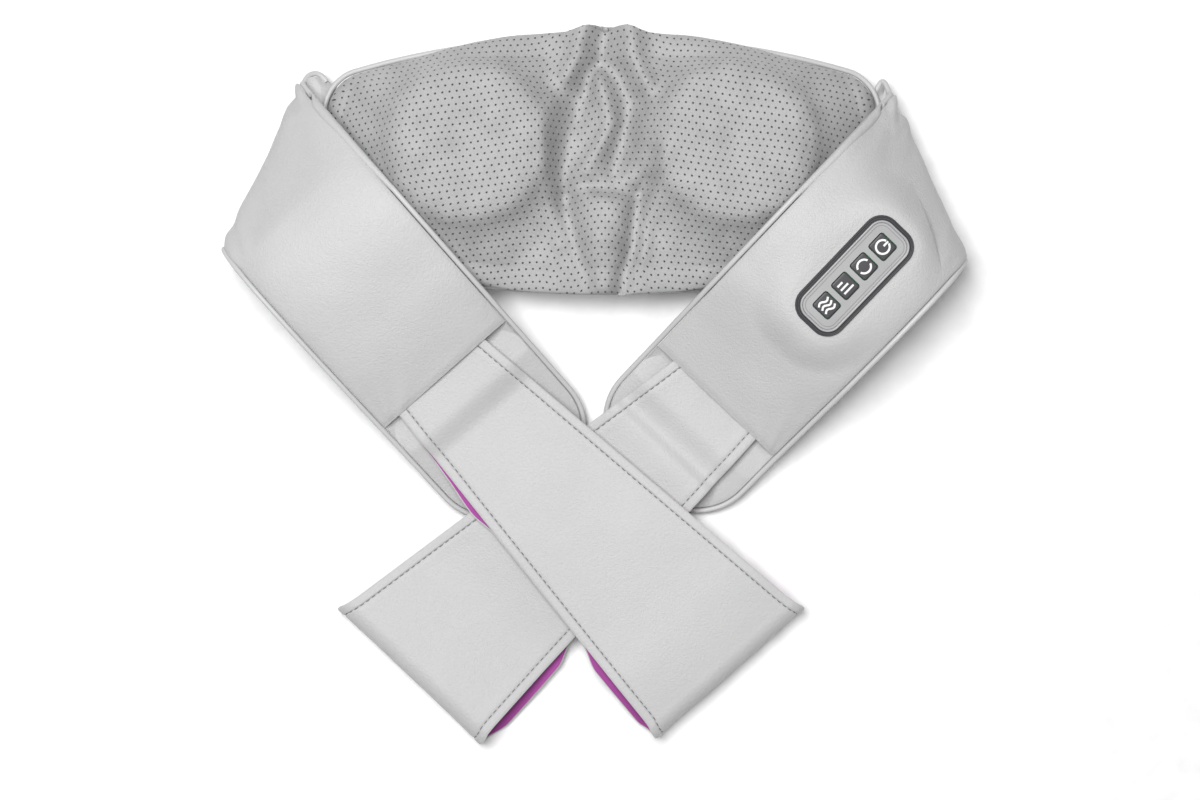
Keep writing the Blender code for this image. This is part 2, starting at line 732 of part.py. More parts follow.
def build_worm(axis):
    """Motor shaft and the single-start worm pressed on it, both round the world's Y axis."""
    frame = Matrix.Rotation(math.radians(90.0), 4, "X")
    frame.translation = mechanism_origin()
    front = mechanism_origin().y - motor_frame().translation.y
    verts, faces = rod(SHAFT_RADIUS, -WORM_LENGTH / 2 - 7.0, front + 12.0, 12)
    solid("motor_shaft", verts, faces, "steel", axis, frame)
    crest = WORM_PITCH_RADIUS + 0.85 * WORM_MODULE
    root_radius = WORM_PITCH_RADIUS - 1.2 * WORM_MODULE
    steps = 18
    turns = int(WORM_LENGTH / WORM_LEAD) + 3
    half = WORM_LENGTH / 2
    stations = [(-0.34, root_radius), (-0.14, crest), (0.14, crest), (0.34, root_radius)]
    columns = []
    for k in range(steps):
        angle = 2.0 * math.pi * k / steps
        column = []
        for turn in range(-turns, turns + 1):
            for share, radius in stations:
                y = WORM_LEAD * (k / steps + turn + share)
                reach = radius if -half < y < half else root_radius
                y = min(max(y, -half), half)
                column.append((reach * math.cos(angle), y, reach * math.sin(angle)))
        columns.append(column)
    verts, faces = worm_faces(columns, steps, half)
    place = Matrix.Translation(mechanism_origin())
    solid("worm", verts, faces, "brass", axis, place)


def worm_faces(columns, steps, half):
    """Close the worm's thread over the seam between two turns, and add its bore and end faces."""
    verts = [p for column in columns for p in column]
    length = len(columns[0])
    faces = []
    for k in range(steps):
        shift = 0 if k < steps - 1 else 4
        following = ((k + 1) % steps) * length
        for j in range(length - 1):
            low = min(max(j + shift, 0), length - 1)
            high = min(max(j + 1 + shift, 0), length - 1)
            faces.append((k * length + j, k * length + j + 1, following + high, following + low))
    bore = SHAFT_RADIUS + GAP
    start = len(verts)
    for y in (-half, half):
        for k in range(steps):
            angle = 2.0 * math.pi * k / steps
            verts.append((bore * math.cos(angle), y, bore * math.sin(angle)))
    for k in range(steps):
        m = (k + 1) % steps
        faces.append((start + k, start + m, start + steps + m, start + steps + k))
        faces.append((start + k, start + m, m * length, k * length))
        faces.append((start + steps + k, start + steps + m, m * length + length - 1, k * length + length - 1))
    return verts, faces


# ---------------------------------------------------------------- gears and heads
def gear_outline(teeth, module, half_tooth, phase):
    """Outline of a straight-flanked gear whose first tooth points along phase."""
    pitch = module * teeth / 2
    root = pitch - 1.2 * module
    tip = pitch + 0.9 * module
    slope = math.tan(math.radians(20.0))
    points = []
    for k in range(teeth):
        middle = phase + 2.0 * math.pi * k / teeth
        root_half = (half_tooth + 0.9 * module * slope) / pitch
        tip_half = max(half_tooth - 0.9 * module * slope, 0.15 * module) / tip
        for radius, angle in ((root, -root_half), (tip, -tip_half), (tip, tip_half), (root, root_half)):
            points.append((radius * math.cos(middle + angle), radius * math.sin(middle + angle)))
    return points


def build_idler(name, side, axis):
    """Worm wheel and pinion in one, turning on its axle."""
    frame = gear_frame(side, WHEEL_DISTANCE)
    lean = HEAD_TILT if side > 0 else math.pi - HEAD_TILT
    thread = WORM_LEAD * lean / (2.0 * math.pi) * side
    gap = math.pi - thread / WHEEL_PITCH_RADIUS
    phase = gap + math.pi / WHEEL_TEETH
    twist = -WORM_LEAD / (2.0 * math.pi * WORM_PITCH_RADIUS) / WHEEL_PITCH_RADIUS
    outline = gear_outline(WHEEL_TEETH, WORM_MODULE, WHEEL_HALF_TOOTH, phase)
    verts, faces = extruded(outline, -WHEEL_FACE / 2, WHEEL_FACE / 2, twist)
    made = solid(name, verts, faces, "gear", axis, frame)
    outline = gear_outline(PINION_TEETH, HEAD_MODULE, HEAD_HALF_TOOTH, 0.0)
    verts, faces = extruded(outline, PINION_LOW - 1.0, PINION_HIGH)
    apply_boolean(made, solid("pinion", verts, faces, "gear", axis, frame), "UNION")
    verts, faces = rod(AXLE_RADIUS + GAP, -20.0, 30.0)
    apply_boolean(made, solid("bore", verts, faces, "gear", axis, frame), "DIFFERENCE")


def build_axle(name, frame, root):
    """Fixed axle that an idler turns on."""
    verts, faces = rod(AXLE_RADIUS, -WHEEL_FACE / 2 - AXLE_FOOT, DECK_DISTANCE - GAP, 12)
    solid(f"{name}_idler_axle", verts, faces, "steel", root, frame)


def build_head(name, side, turn, axis):
    """Head gear, node arm with two small domes; returns the head's frame."""
    frame = gear_frame(side, HEAD_DISTANCE)
    outline = gear_outline(HEAD_TEETH, HEAD_MODULE, HEAD_HALF_TOOTH, math.pi + math.pi / HEAD_TEETH)
    verts, faces = extruded(outline, HEAD_LOW, HEAD_HIGH)
    gear = solid(f"{name}_head_gear", verts, faces, "gear", axis, frame)
    verts, faces = rod(HEAD_OPENING - 4.0, HEAD_HIGH - 1.0, ARM_LOW - GAP, 24)
    apply_boolean(gear, solid("hub", verts, faces, "gear", axis, frame), "UNION")
    bore = POST_RADIUS + GAP
    verts, faces = rod(bore, 0, 60)
    apply_boolean(gear, solid("bore", verts, faces, "gear", axis, frame), "DIFFERENCE")
    turned_frame = frame @ Matrix.Rotation(turn, 4, "Z")
    outline = []
    for k in range(40):
        angle = 2.0 * math.pi * k / 40
        reach = 24.0 + (NODE_CIRCLE + 8.0 - 24.0) * abs(math.cos(2 * angle)) ** 2.5
        outline.append((reach * math.cos(angle), reach * math.sin(angle)))
    verts, faces = extruded(outline, ARM_LOW, ARM_HIGH)
    arm = solid(f"{name}_node_arm", verts, faces, "node", axis, turned_frame)
    for k in range(2):
        sign = 1 - 2 * k
        place = turned_frame @ Matrix.Translation((sign * NODE_CIRCLE, 0, 0))
        verts, faces = rod(PIN_RADIUS, ARM_HIGH - 1.0, NODE_HEIGHT + 4.0, 12)
        apply_boolean(arm, solid("pin", verts, faces, "node", axis, place), "UNION")
        place = turned_frame @ Matrix.Translation((0, sign * DOME_CIRCLE, 0))
        arc = [(DOME_RADIUS * math.cos(a), ARM_HIGH + 4.0 + DOME_RADIUS * math.sin(a))
               for a in (0, math.pi / 8, math.pi / 4, math.pi * 3 / 8)]
        profile = [(0, ARM_HIGH - 1.0), (DOME_RADIUS, ARM_HIGH - 1.0), *arc, (0, ARM_HIGH + 4.0 + DOME_RADIUS)]
        verts, faces = turned(profile, 12)
        apply_boolean(arm, solid("dome", verts, faces, "node", axis, place), "UNION")
    verts, faces = rod(bore, 0, 60)
    apply_boolean(arm, solid("bore", verts, faces, "node", axis, turned_frame), "DIFFERENCE")
    return frame, turned_frame


def build_node(name, place, axis):
    """Large massage node: a ball with a flat base, free to turn on the arm's pin."""
    base = NODE_BASE - NODE_HEIGHT
    foot = math.asin(base / NODE_RADIUS)
    bore = PIN_RADIUS + GAP
    arc = []
    for k in range(8):
        angle = mix(foot, math.pi / 2, k / 8)
        arc.append((NODE_RADIUS * math.cos(angle), NODE_RADIUS * math.sin(angle)))
    profile = [(0, 6.0), (bore, 6.0), (bore, base), *arc, (0, NODE_RADIUS)]
    verts, faces = turned(profile, 18)
    solid(name, verts, faces, "node", axis, place @ Matrix.Translation((0, 0, NODE_HEIGHT)))


def build_post(name, frame, root):
    """Hollow post that a head turns on, and the heat lens on top of it."""
    low = HEAD_LOW - 8.0
    high = ARM_HIGH + 2.0
    profile = [(POST_BORE, low), (POST_RADIUS, low), (POST_RADIUS, high), (POST_BORE, high)]
    verts, faces = turned(profile, 16, closed=True)
    solid(f"{name}_head_post", verts, faces, "steel", root, frame)
    base = high + GAP
    profile = [(0, base), (LENS_RADIUS, base), (LENS_RADIUS, base + 2), (LENS_RADIUS * 0.7, base + 4.2),
               (0, base + 5)]
    verts, faces = turned(profile, 16)
    solid(f"{name}_heat_lens", verts, faces, "lens", root, frame)


def build_board(root):
    """Control board on the floor of the rear housing, with its large components."""
    x = BODY_CENTRE[0] + HEAD_X + 14.0
    y = BODY_CENTRE[1] + HOUSING_OFFSET - 14.0
    z = HOUSING_FLOOR + WALL + 2.0
    verts, faces = box((x, y, z), (x + 26, y + 40, z + 1.6))
    board = solid("control_board", verts, faces, "board", root)
    parts = [((3, 4), (13, 16), 3.0), ((16, 5), (23, 12), 8.0),
             ((4, 22), (12, 36), 5.0), ((15, 24), (22, 34), 4.0)]
    for low, high, tall in parts:
        verts, faces = box((x + low[0], y + low[1], z + 0.8), (x + high[0], y + high[1], z + 1.6 + tall))
        apply_boolean(board, solid("chip", verts, faces, "board", root), "UNION")


# ---------------------------------------------------------------- wings
@dataclass(frozen=True)
class Wing:
    """One folded wing: where it folds, how it runs, and how its loop lies."""

    name: str
    side: int
    reach: float
    drop: float
    angle: float
    cuff: float
    lie: tuple
    roll: float
    root_offset: float
    end_offset: float
    lift: float = 0.0

    def along(self):
        """Plan direction from the fold to the tip."""
        return Vector((-self.side * math.cos(self.angle), -math.sin(self.angle)))

    def across(self):
        """Plan direction to the inner edge."""
        return Vector((-self.side * math.sin(self.angle), math.cos(self.angle)))

    def fold_middle(self):
        """Plan place of the fold line's middle."""
        x = BODY_CENTRE[0] + self.side * (BODY_LENGTH / 2 + self.reach)
        return Vector((x, BODY_CENTRE[1] - self.drop))

    def plan(self, a, t):
        """Plan place at a distance from the fold's middle and from the wing's middle."""
        return self.fold_middle() + self.along() * a + self.across() * t

    def fold_at(self, t):
        """Distance of the fold line from its middle, measured along the wing."""
        return -t * math.tan(self.angle / 2)

    def fold_line(self):
        """Plan direction of the fold line, running down the outer side."""
        return (self.along() * math.tan(self.angle / 2) - self.across()).normalized()

    def length(self):
        """Length that stops the tip short of the body's middle plane."""
        start = self.fold_middle() + self.across() * (BAND_WIDTH / 2 - TIP_ROUNDING)
        run = -self.side * self.along().x
        return (self.side * start.x - TIP_ROUNDING - TIP_CLEARANCE) / run + TIP_ROUNDING

    def middle_height(self, a, t):
        """Height of the wing's middle surface."""
        half = BAND_WIDTH / 2
        fold = half * math.tan(self.angle / 2)
        end = self.length()
        inner = smooth([(-fold, 30), (0, 58), (40, 77), (90, 87), (150, 72), (end - 114, 47), (end - 39, 16),
                        (end, 5.5)], a)
        outer = smooth([(0, 18), (fold, 44), (50, 66), (75, 72), (100, 70), (150, 56), (end - 114, 36),
                        (end - 39, 12), (end, 5.5)], a)
        rise = self.lift * smooth([(0, 0), (40, 1), (150, 1), (end - 80, 0)], a)
        return mix(outer, inner, t / BAND_WIDTH + 0.5) + rise

    def half_thickness(self, a):
        """Half the wing's padding at the middle of its width."""
        end = self.length()
        return smooth([(0, WING_HALF_THICKNESS), (self.cuff, WING_HALF_THICKNESS - 1),
                       (end - 50, TIP_HALF_THICKNESS), (end, TIP_HALF_THICKNESS)], a)

    def edge(self, a, inset):
        """Half the panel's width, rounded off at the tip."""
        half = BAND_WIDTH / 2 - inset
        corner = TIP_ROUNDING - inset
        run = a - (self.length() - TIP_ROUNDING)
        if run <= 0:
            return half
        return half - corner + math.sqrt(max(corner ** 2 - run ** 2, 0.0))

    def start(self, t):
        """Distance along the wing at which its panels begin, past the curl of the fold."""
        share = 0.5 - t / BAND_WIDTH
        radius = mix(GUSSET_TOP_RADIUS, GUSSET_BOTTOM_RADIUS, share)
        turn = mix(GUSSET_TOP_TURN, GUSSET_BOTTOM_TURN, share)
        reach = radius + GUSSET_THICKNESS / 2 - radius * math.cos(turn)
        return self.fold_at(t) + reach / math.cos(self.angle / 2)

    def point(self, a, t, height):
        """World point in millimetres."""
        return Vector((*self.plan(a, t), height))


def pillow(share):
    """Fullness of a padded panel over half its width."""
    return (1.0 - min(abs(share), 1.0) ** 2.5) ** 0.6


def wing_layer(wing, begin, end, rows, columns, inset, height):
    """Grid over a stretch of the wing; begin is a function of t, height of a, t and share."""
    grid = []
    for i in range(rows + 1):
        share = i / rows
        line = []
        for j in range(columns + 1):
            v = 2.0 * j / columns - 1.0
            half = wing.edge(mix(0.0, end, share), inset)
            t = v * half
            a = mix(begin(t), end, share)
            t = v * wing.edge(a, inset)
            line.append(wing.point(a, t, height(a, t, v)))
        grid.append(line)
    return grid


def shifted(grid, drop):
    """Copy of a grid moved down."""
    return [[p - Vector((0, 0, drop)) for p in line] for line in grid]


def build_wing(wing, axis):
    """Outer panel, pocket panel, inner panel, foam core and piping of one wing."""
    inset = PANEL_INSET
    half = BAND_WIDTH / 2 - inset
    end = wing.length() - inset
    pocket = wing.cuff - POCKET_DEPTH

    def begin(t):
        return wing.start(t) + FOLD_SEAM

    def top(a, t, v):
        return wing.middle_height(a, t) + WING_SEAM + WING_SKIN + wing.half_thickness(a) * pillow(t / half)

    def bottom(a, t, v):
        return wing.middle_height(a, t) - WING_SEAM - wing.half_thickness(a) * pillow(t / half)

    def pocket_top(a, t, v):
        flat = wing.middle_height(a, t) - POCKET_DROP
        tip = wing.middle_height(a, t) + WING_SEAM + WING_SKIN + TIP_HALF_THICKNESS * pillow(v)
        return mix(flat, tip, smooth([(wing.cuff + 4, 0.0), (wing.cuff + 26, 1.0)], a))

    grid = wing_layer(wing, begin, wing.cuff, 12, 6, inset, top)
    outer = solid(f"{wing.name}_wing_outer", *slab(grid, shifted(grid, WING_SKIN)), "leather", axis)
    grid = wing_layer(wing, begin, end, 16, 6, inset, bottom)
    solid(f"{wing.name}_wing_inner", *slab(grid, shifted(grid, WING_SKIN)), "leather", axis)

    grid = []
    for i in range(17):
        a = mix(pocket, end, i / 16)
        open_share = smooth([(wing.cuff + 18, 0.0), (wing.cuff + 36, 1.0)], a)
        width = mix(half - 21.0, wing.edge(a, inset), open_share)
        line = [2.0 * j / 6 - 1.0 for j in range(7)]
        grid.append([wing.point(a, v * width, pocket_top(a, v * width, v)) for v in line])
    solid(f"{wing.name}_pocket_panel", *slab(grid, shifted(grid, WING_SKIN)), "leather", axis)

    core = 14.0
    stop = pocket - 3.0
    upper = wing_layer(wing, lambda t: begin(t) + 3.0, stop, 8, 6, inset + core,
                       lambda a, t, v: top(a, t, v) - WING_SKIN - FOAM_CLEARANCE)
    lower = wing_layer(wing, lambda t: begin(t) + 3.0, stop, 8, 6, inset + core,
                       lambda a, t, v: bottom(a, t, v) + FOAM_CLEARANCE)
    foam = solid(f"{wing.name}_wing_foam", *slab(upper, lower), "foam", axis)

    path = []
    centre_inset = PIPING_RADIUS
    corner = wing.length() - TIP_ROUNDING
    side_half = BAND_WIDTH / 2 - centre_inset
    first = wing.start(side_half) + 2.0
    last = wing.start(-side_half) + 2.0
    path += [(mix(first, corner, k / 10), side_half) for k in range(10)]
    radius = TIP_ROUNDING - centre_inset
    flat = side_half - radius
    path += [(corner + radius * math.sin(x), flat + radius * math.cos(x)) for x in
             [math.pi / 2 * k / 6 for k in range(7)]]
    path += [(corner + radius * math.cos(x), -flat - radius * math.sin(x)) for x in
             [math.pi / 2 * k / 6 for k in range(7)]]
    path += [(mix(corner, last, (k + 1) / 10), -side_half) for k in range(10)]
    line = [wing.point(a, t, wing.middle_height(a, t)) for a, t in path]
    solid(f"{wing.name}_wing_piping", *tube(line, PIPING_RADIUS, 6), "leather", axis)
    return outer, foam


def build_gusset(wing, root):
    """Soft curl that carries the band from the body's end round the fold to the wing."""
    line = wing.fold_line()
    out = Vector((wing.side, 0)) - wing.along()
    out.normalize()
    upper = []
    lower = []
    columns = 8
    stations = 10
    body_end = BODY_CENTRE[0] + wing.side * (BODY_LENGTH / 2 + GAP + 0.6)
    for i in range(stations + 1):
        outer_row = []
        inner_row = []
        for j in range(columns + 1):
            t = (2.0 * j / columns - 1.0) * (BAND_WIDTH / 2 - 1.0)
            share = 0.5 - t / BAND_WIDTH
            radius = mix(GUSSET_TOP_RADIUS, GUSSET_BOTTOM_RADIUS, share)
            turn = mix(GUSSET_TOP_TURN, GUSSET_BOTTOM_TURN, share)
            thick = GUSSET_THICKNESS / 2
            fold = wing.plan(wing.fold_at(t), t)
            back = Vector((body_end, fold.y)) - fold
            flat = out.dot(back) + radius + thick
            arc = radius * (math.pi / 2 + turn)
            run = (arc - flat) * i / stations + flat
            total = arc - flat
            end_shift = (wing.start(t) - wing.fold_at(t)) * line.dot(wing.along())
            shift = mix(line.dot(back), end_shift, (run - flat) / total)
            if run < 0:
                centre = Vector((-radius - thick + run, -radius))
                normal = Vector((0, -1))
            else:
                angle = run / radius - math.pi / 2
                centre = Vector((-radius - thick + radius * math.cos(angle), radius * math.sin(angle)))
                normal = Vector((math.cos(angle), math.sin(angle)))
            for row, offset in ((outer_row, thick), (inner_row, -thick)):
                spot = centre + normal * offset
                place = fold + out * spot.x + line * shift
                row.append(Vector((place.x, place.y, BAND_HEIGHT + radius + spot.y)))
        upper.append(outer_row)
        lower.append(inner_row)
    solid(f"{wing.name}_fold_gusset", *slab(upper, lower), "leather", root)


# ---------------------------------------------------------------- hand loops
def loop_width(wing, a):
    """Half width of a hand loop."""
    share = (a - wing.cuff) / LOOP_LENGTH
    return mix(LOOP_ROOT_WIDTH, LOOP_END_WIDTH, max(share, -0.05)) / 2


def loop_profile(wing):
    """Side view of a loop as (distance, height, tilt) points from one root round to the other."""
    root = wing.cuff - POCKET_DEPTH + 6.0
    tip = wing.length()
    slot = [(a, wing.middle_height(a, 0) + 0.4) for a in (root, wing.cuff - 8)]
    slot.append((wing.cuff + 2, wing.middle_height(wing.cuff + 2, 0) + 1.0))
    tip_top = TIP_HALF_THICKNESS + WING_SEAM + WING_SKIN + LOOP_PRESSED / 2 + 1.2
    over = [(a, wing.middle_height(a, 0) + tip_top) for a in (wing.cuff + 24, wing.cuff + 45)]
    end = wing.cuff + LOOP_LENGTH
    roll = wing.roll
    middle = slot + over + [(tip + run, height) for run, height in wing.lie]
    stations = 22
    upper = []
    lower = []
    for k in range(stations):
        a = mix(root, end - roll, k / (stations - 1))
        height = smooth(middle, a)
        opening = smooth([(wing.cuff + 60, LOOP_PRESSED / 2), (end - 90, LOOP_PRESSED / 2 + 2.0),
                          (end - roll, roll)], a)
        upper.append((a, height + opening))
        lower.append((a, height - opening))
    centre = smooth(middle, end - roll)
    bend = [(end - roll + roll * math.cos(x), centre + roll * math.sin(x))
            for x in [math.pi / 2 - math.pi * k / 8 for k in range(1, 8)]]
    return upper + bend + lower[::-1]


def offset_profile(profile, distance):
    """Side view moved inwards by a distance, square to its run."""
    moved = []
    for k, point in enumerate(profile):
        before = Vector(profile[max(k - 1, 0)])
        after = Vector(profile[min(k + 1, len(profile) - 1)])
        run = (after - before).normalized()
        moved.append(Vector(point) + Vector((run.y, -run.x)) * distance)
    return moved


def build_loop(wing, axis):
    """Leather loop and its lining, each one strip bent back on itself."""
    profile = loop_profile(wing)
    layers = ((f"{wing.name}_loop", "leather", 0.0, LOOP_SKIN, 0.0),
              (f"{wing.name}_loop_lining", "purple", LOOP_SKIN + GAP / 2, LINING_SKIN, 1.0))
    for name, kind, depth, thickness, inset in layers:
        outer = offset_profile(profile, depth)
        inner = offset_profile(profile, depth + thickness)
        grids = []
        for side in (outer, inner):
            grid = []
            for a, height in side:
                half = loop_width(wing, a) - inset
                offset = mix(wing.root_offset, wing.end_offset, (a - wing.cuff) / LOOP_LENGTH)
                tilt = (wing.middle_height(a, 1) - wing.middle_height(a, -1)) / 2
                tilt *= smooth([(wing.cuff + 30, 1.0), (wing.length() + 10, 0.0)], a)
                grid.append([wing.point(a, offset + v * half, height + tilt * (offset + v * half))
                             for v in (-1.0, 1.0)])
            grids.append(grid)
        solid(name, *slab(*grids), kind, axis)


# ---------------------------------------------------------------- control panel
def panel_frame(wing):
    """Frame of the panel: X along the wing, Z out of the wing's outer face."""
    half = BAND_WIDTH / 2 - PANEL_INSET

    def top(a, t):
        rise = wing.half_thickness(a) * pillow(t / half)
        return wing.point(a, t, wing.middle_height(a, t) + WING_SEAM + WING_SKIN + rise)
    reach = PANEL_LENGTH / 2
    side = PANEL_WIDTH / 2
    along = (top(PANEL_ALONG + reach, PANEL_ACROSS) - top(PANEL_ALONG - reach, PANEL_ACROSS)).normalized()
    across = top(PANEL_ALONG, PANEL_ACROSS + side) - top(PANEL_ALONG, PANEL_ACROSS - side)
    out = along.cross(across).normalized()
    if out.z < 0:
        out.negate()
    across = out.cross(along)
    frame = Matrix((along, across, out)).transposed().to_4x4()
    frame.translation = top(PANEL_ALONG, PANEL_ACROSS)
    return frame


def key_places():
    """Distances of the keys from the panel's middle, power first."""
    count = len(KEY_NAMES)
    return [KEY_PITCH * (k - (count - 1) / 2) for k in range(count)]


def cut_prism(target, outline, low, high, frame, parent):
    """Cut a straight prism out of a solid."""
    verts, faces = extruded(outline, low, high)
    apply_boolean(target, solid("cutter", verts, faces, "bezel", parent, frame), "DIFFERENCE", "MANIFOLD")


def build_panel(wing, outer, foam, axis):
    """Bezel, face plate, keypad case and board set into the right wing."""
    frame = panel_frame(wing)
    gap = 2 * GAP
    window = rounded_rectangle(PANEL_LENGTH + gap, PANEL_WIDTH + gap, PANEL_CORNER + GAP)
    cut_prism(outer, window, -12.0, 12.0, frame, axis)
    cut_prism(foam, window, -10.5, 20.0, frame, axis)

    rim = rounded_rectangle(PANEL_LENGTH, PANEL_WIDTH, PANEL_CORNER)
    opening_length = PANEL_LENGTH - 2 * BEZEL_RIM
    opening_width = PANEL_WIDTH - 2 * BEZEL_RIM
    opening_corner = PANEL_CORNER - BEZEL_RIM
    opening = rounded_rectangle(opening_length, opening_width, opening_corner)
    verts, faces = rings([[(*p, z) for p in line] for line, z in
                          ((rim, -3.0), (rim, 2.0), (opening, 2.0), (opening, -3.0))], closed=True)
    solid("panel_bezel", verts, faces, "bezel", axis, frame)

    plate = rounded_rectangle(opening_length - gap, opening_width - gap, opening_corner - GAP)
    verts, faces = extruded(plate, -0.6, 1.0)
    face = solid("panel_face", verts, faces, "face", axis, frame)
    for x in key_places():
        hole = rounded_rectangle(KEY_LENGTH + 2 * KEY_CLEARANCE, KEY_WIDTH + 2 * KEY_CLEARANCE, 2.0, 2)
        hole = [(x + p[0], p[1]) for p in hole]
        cut_prism(face, hole, -4.0, 4.0, frame, axis)

    verts, faces = extruded(plate, -3.6, -2.4)
    solid("keypad_board", verts, faces, "board", axis, frame)
    shell = [rounded_rectangle(PANEL_LENGTH - 2, PANEL_WIDTH - 2, PANEL_CORNER - 1),
             rounded_rectangle(opening_length - gap, opening_width - gap, opening_corner - GAP)]
    loops = [[(*p, -9.5) for p in shell[0]], [(*p, -4.0) for p in shell[0]],
             [(*p, -4.0) for p in shell[1]], [(*p, -8.0) for p in shell[1]]]
    verts, faces = rings(loops)
    solid("keypad_case", verts, faces, "housing", axis, frame)
    return frame


def build_keys(frame, parent):
    """Four keys that stand in the face plate's holes, each on its own slide axis."""
    for name, x in zip(KEY_NAMES, key_places()):
        place = frame @ Matrix.Translation((x, 0, 0))
        axis = empty(f"axis_{name}_button", place, parent)
        outline = rounded_rectangle(KEY_LENGTH, KEY_WIDTH, 1.6, 2)
        verts, faces = extruded(outline, -1.5, 1.3)
        solid(f"{name}_button", verts, faces, "key", axis, place)


# ---------------------------------------------------------------- assembly
def wing_clearance_lift(wing):
    """Height to add to a wing so that it rests on the front cover with its clearance."""
    needed = -20.0
    half = BAND_WIDTH / 2 - PANEL_INSET
    for i in range(30):
        for j in range(25):
            a = mix(0.0, wing.cuff, i / 29)
            t = mix(-BAND_WIDTH / 2, BAND_WIDTH / 2, j / 24)
            if a < wing.start(t):
                continue
            place = wing.plan(a, t) - Vector(BODY_CENTRE)
            if abs(place.x) > BODY_LENGTH / 2 or abs(place.y) > half_width(place.x, 0):
                continue
            padding = max(wing.half_thickness(a) * pillow(t / half) + WING_SKIN, PIPING_RADIUS)
            share = smooth([(0, 0), (40, 1), (150, 1), (wing.length() - 80, 0)], a)
            if share > 0.3:
                over = cover_height(place.x, place.y) + WING_CLEARANCE + padding - wing.middle_height(a, t)
                needed = max(needed, over / share)
    return needed


def settle(root):
    """Move the whole object so that its box stands on the origin with its bottom centre."""
    bpy.context.view_layer.update()
    corners = [o.matrix_world @ v.co for o in bpy.data.objects if o.type == "MESH" for v in o.data.vertices]
    low = [min(c[i] for c in corners) for i in range(3)]
    high = [max(c[i] for c in corners) for i in range(3)]
    root.location -= Vector(((low[0] + high[0]) / 2, (low[1] + high[1]) / 2, low[2]))
    bpy.context.view_layer.update()


def build_mechanism(root):
    """Motor, worm, idlers, heads, posts and nodes on their axes."""
    build_motor(root)
    worm_frame = Matrix.Translation(mechanism_origin())
    build_worm(empty("axis_worm", worm_frame, root))
    for name, side, turn in (("left", -1, LEFT_ARM_TURN), ("right", 1, RIGHT_ARM_TURN)):
        idler = gear_frame(side, WHEEL_DISTANCE)
        build_idler(f"{name}_idler_gear", side, empty(f"axis_{name}_idler", idler, root))
        build_axle(name, idler, root)
        axis = empty(f"axis_{name}_head", gear_frame(side, HEAD_DISTANCE), root)
        frame, arm_frame = build_head(name, side, turn, axis)
        build_post(name, frame, root)
        for end, sign in (("outer", 1), ("inner", -1)):
            place = arm_frame @ Matrix.Translation((sign * NODE_CIRCLE, 0, 0))
            node_axis = empty(f"axis_{name}_{end}_node", place, axis)
            build_node(f"{name}_{end}_node", place, node_axis)


def main():
    """Build the whole massager."""
    clear_scene()
    root = empty("massager", Matrix.Identity(4))
    build_back_cover(root)
    build_front_cover(root)
    build_body_piping(root)
    build_foam_surround(root)
    build_rear_housing(root)
    build_front_housing(root)
    build_screws(root)
    build_inlet(root)
    build_board(root)
    build_mechanism(root)
    left = Wing("left", -1, 45.0, 0.0, math.radians(48.7), 205.0,
                ((-28, 33.0), (22, 32.5), (70, 31.5), (130, 28.0), (185, 16.5)), 13.0, -3.0, 12.0)
    right = Wing("right", 1, 36.0, 8.0, math.radians(46.5), 228.0,
                 ((-28, 26.0), (0, 21.5), (45, 21.0), (90, 19.5), (150, 13.5), (205, 14.5)), 12.5, 1.0, 24.0)
    for wing in (left, right):
        wing = Wing(**{**wing.__dict__, "lift": wing_clearance_lift(wing)})
        place = Matrix.Rotation(math.atan2(wing.fold_line().y, wing.fold_line().x), 4, "Z")
        place.translation = Vector((*wing.fold_middle(), HINGE_HEIGHT))
        axis = empty(f"axis_{wing.name}_wing", place, root)
        outer, foam = build_wing(wing, axis)
        build_gusset(wing, root)
        pocket = wing.cuff - POCKET_DEPTH + 6.0
        loop_root = Matrix.Translation(wing.point(pocket, 0, wing.middle_height(pocket, 0)))
        build_loop(wing, empty(f"axis_{wing.name}_loop", loop_root, axis))
        if wing.name == "right":
            build_keys(build_panel(wing, outer, foam, axis), axis)
    settle(root)


main()
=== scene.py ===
"""Looks of a padded shawl massager that lies on its back with both wings folded over it.

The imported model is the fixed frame.  Every soft piece is built here over it: the mesh front with
its gathers, the leather back, the two wings with piping and pockets, and the crossing hand loops
with their lining.  Lengths are in millimetres and become metres as each mesh is made.
"""
import json
import logging
import math
from dataclasses import dataclass, field
from enum import Enum
from typing import Sequence

import bpy
import numpy as np
from mathutils import Matrix, Vector, noise

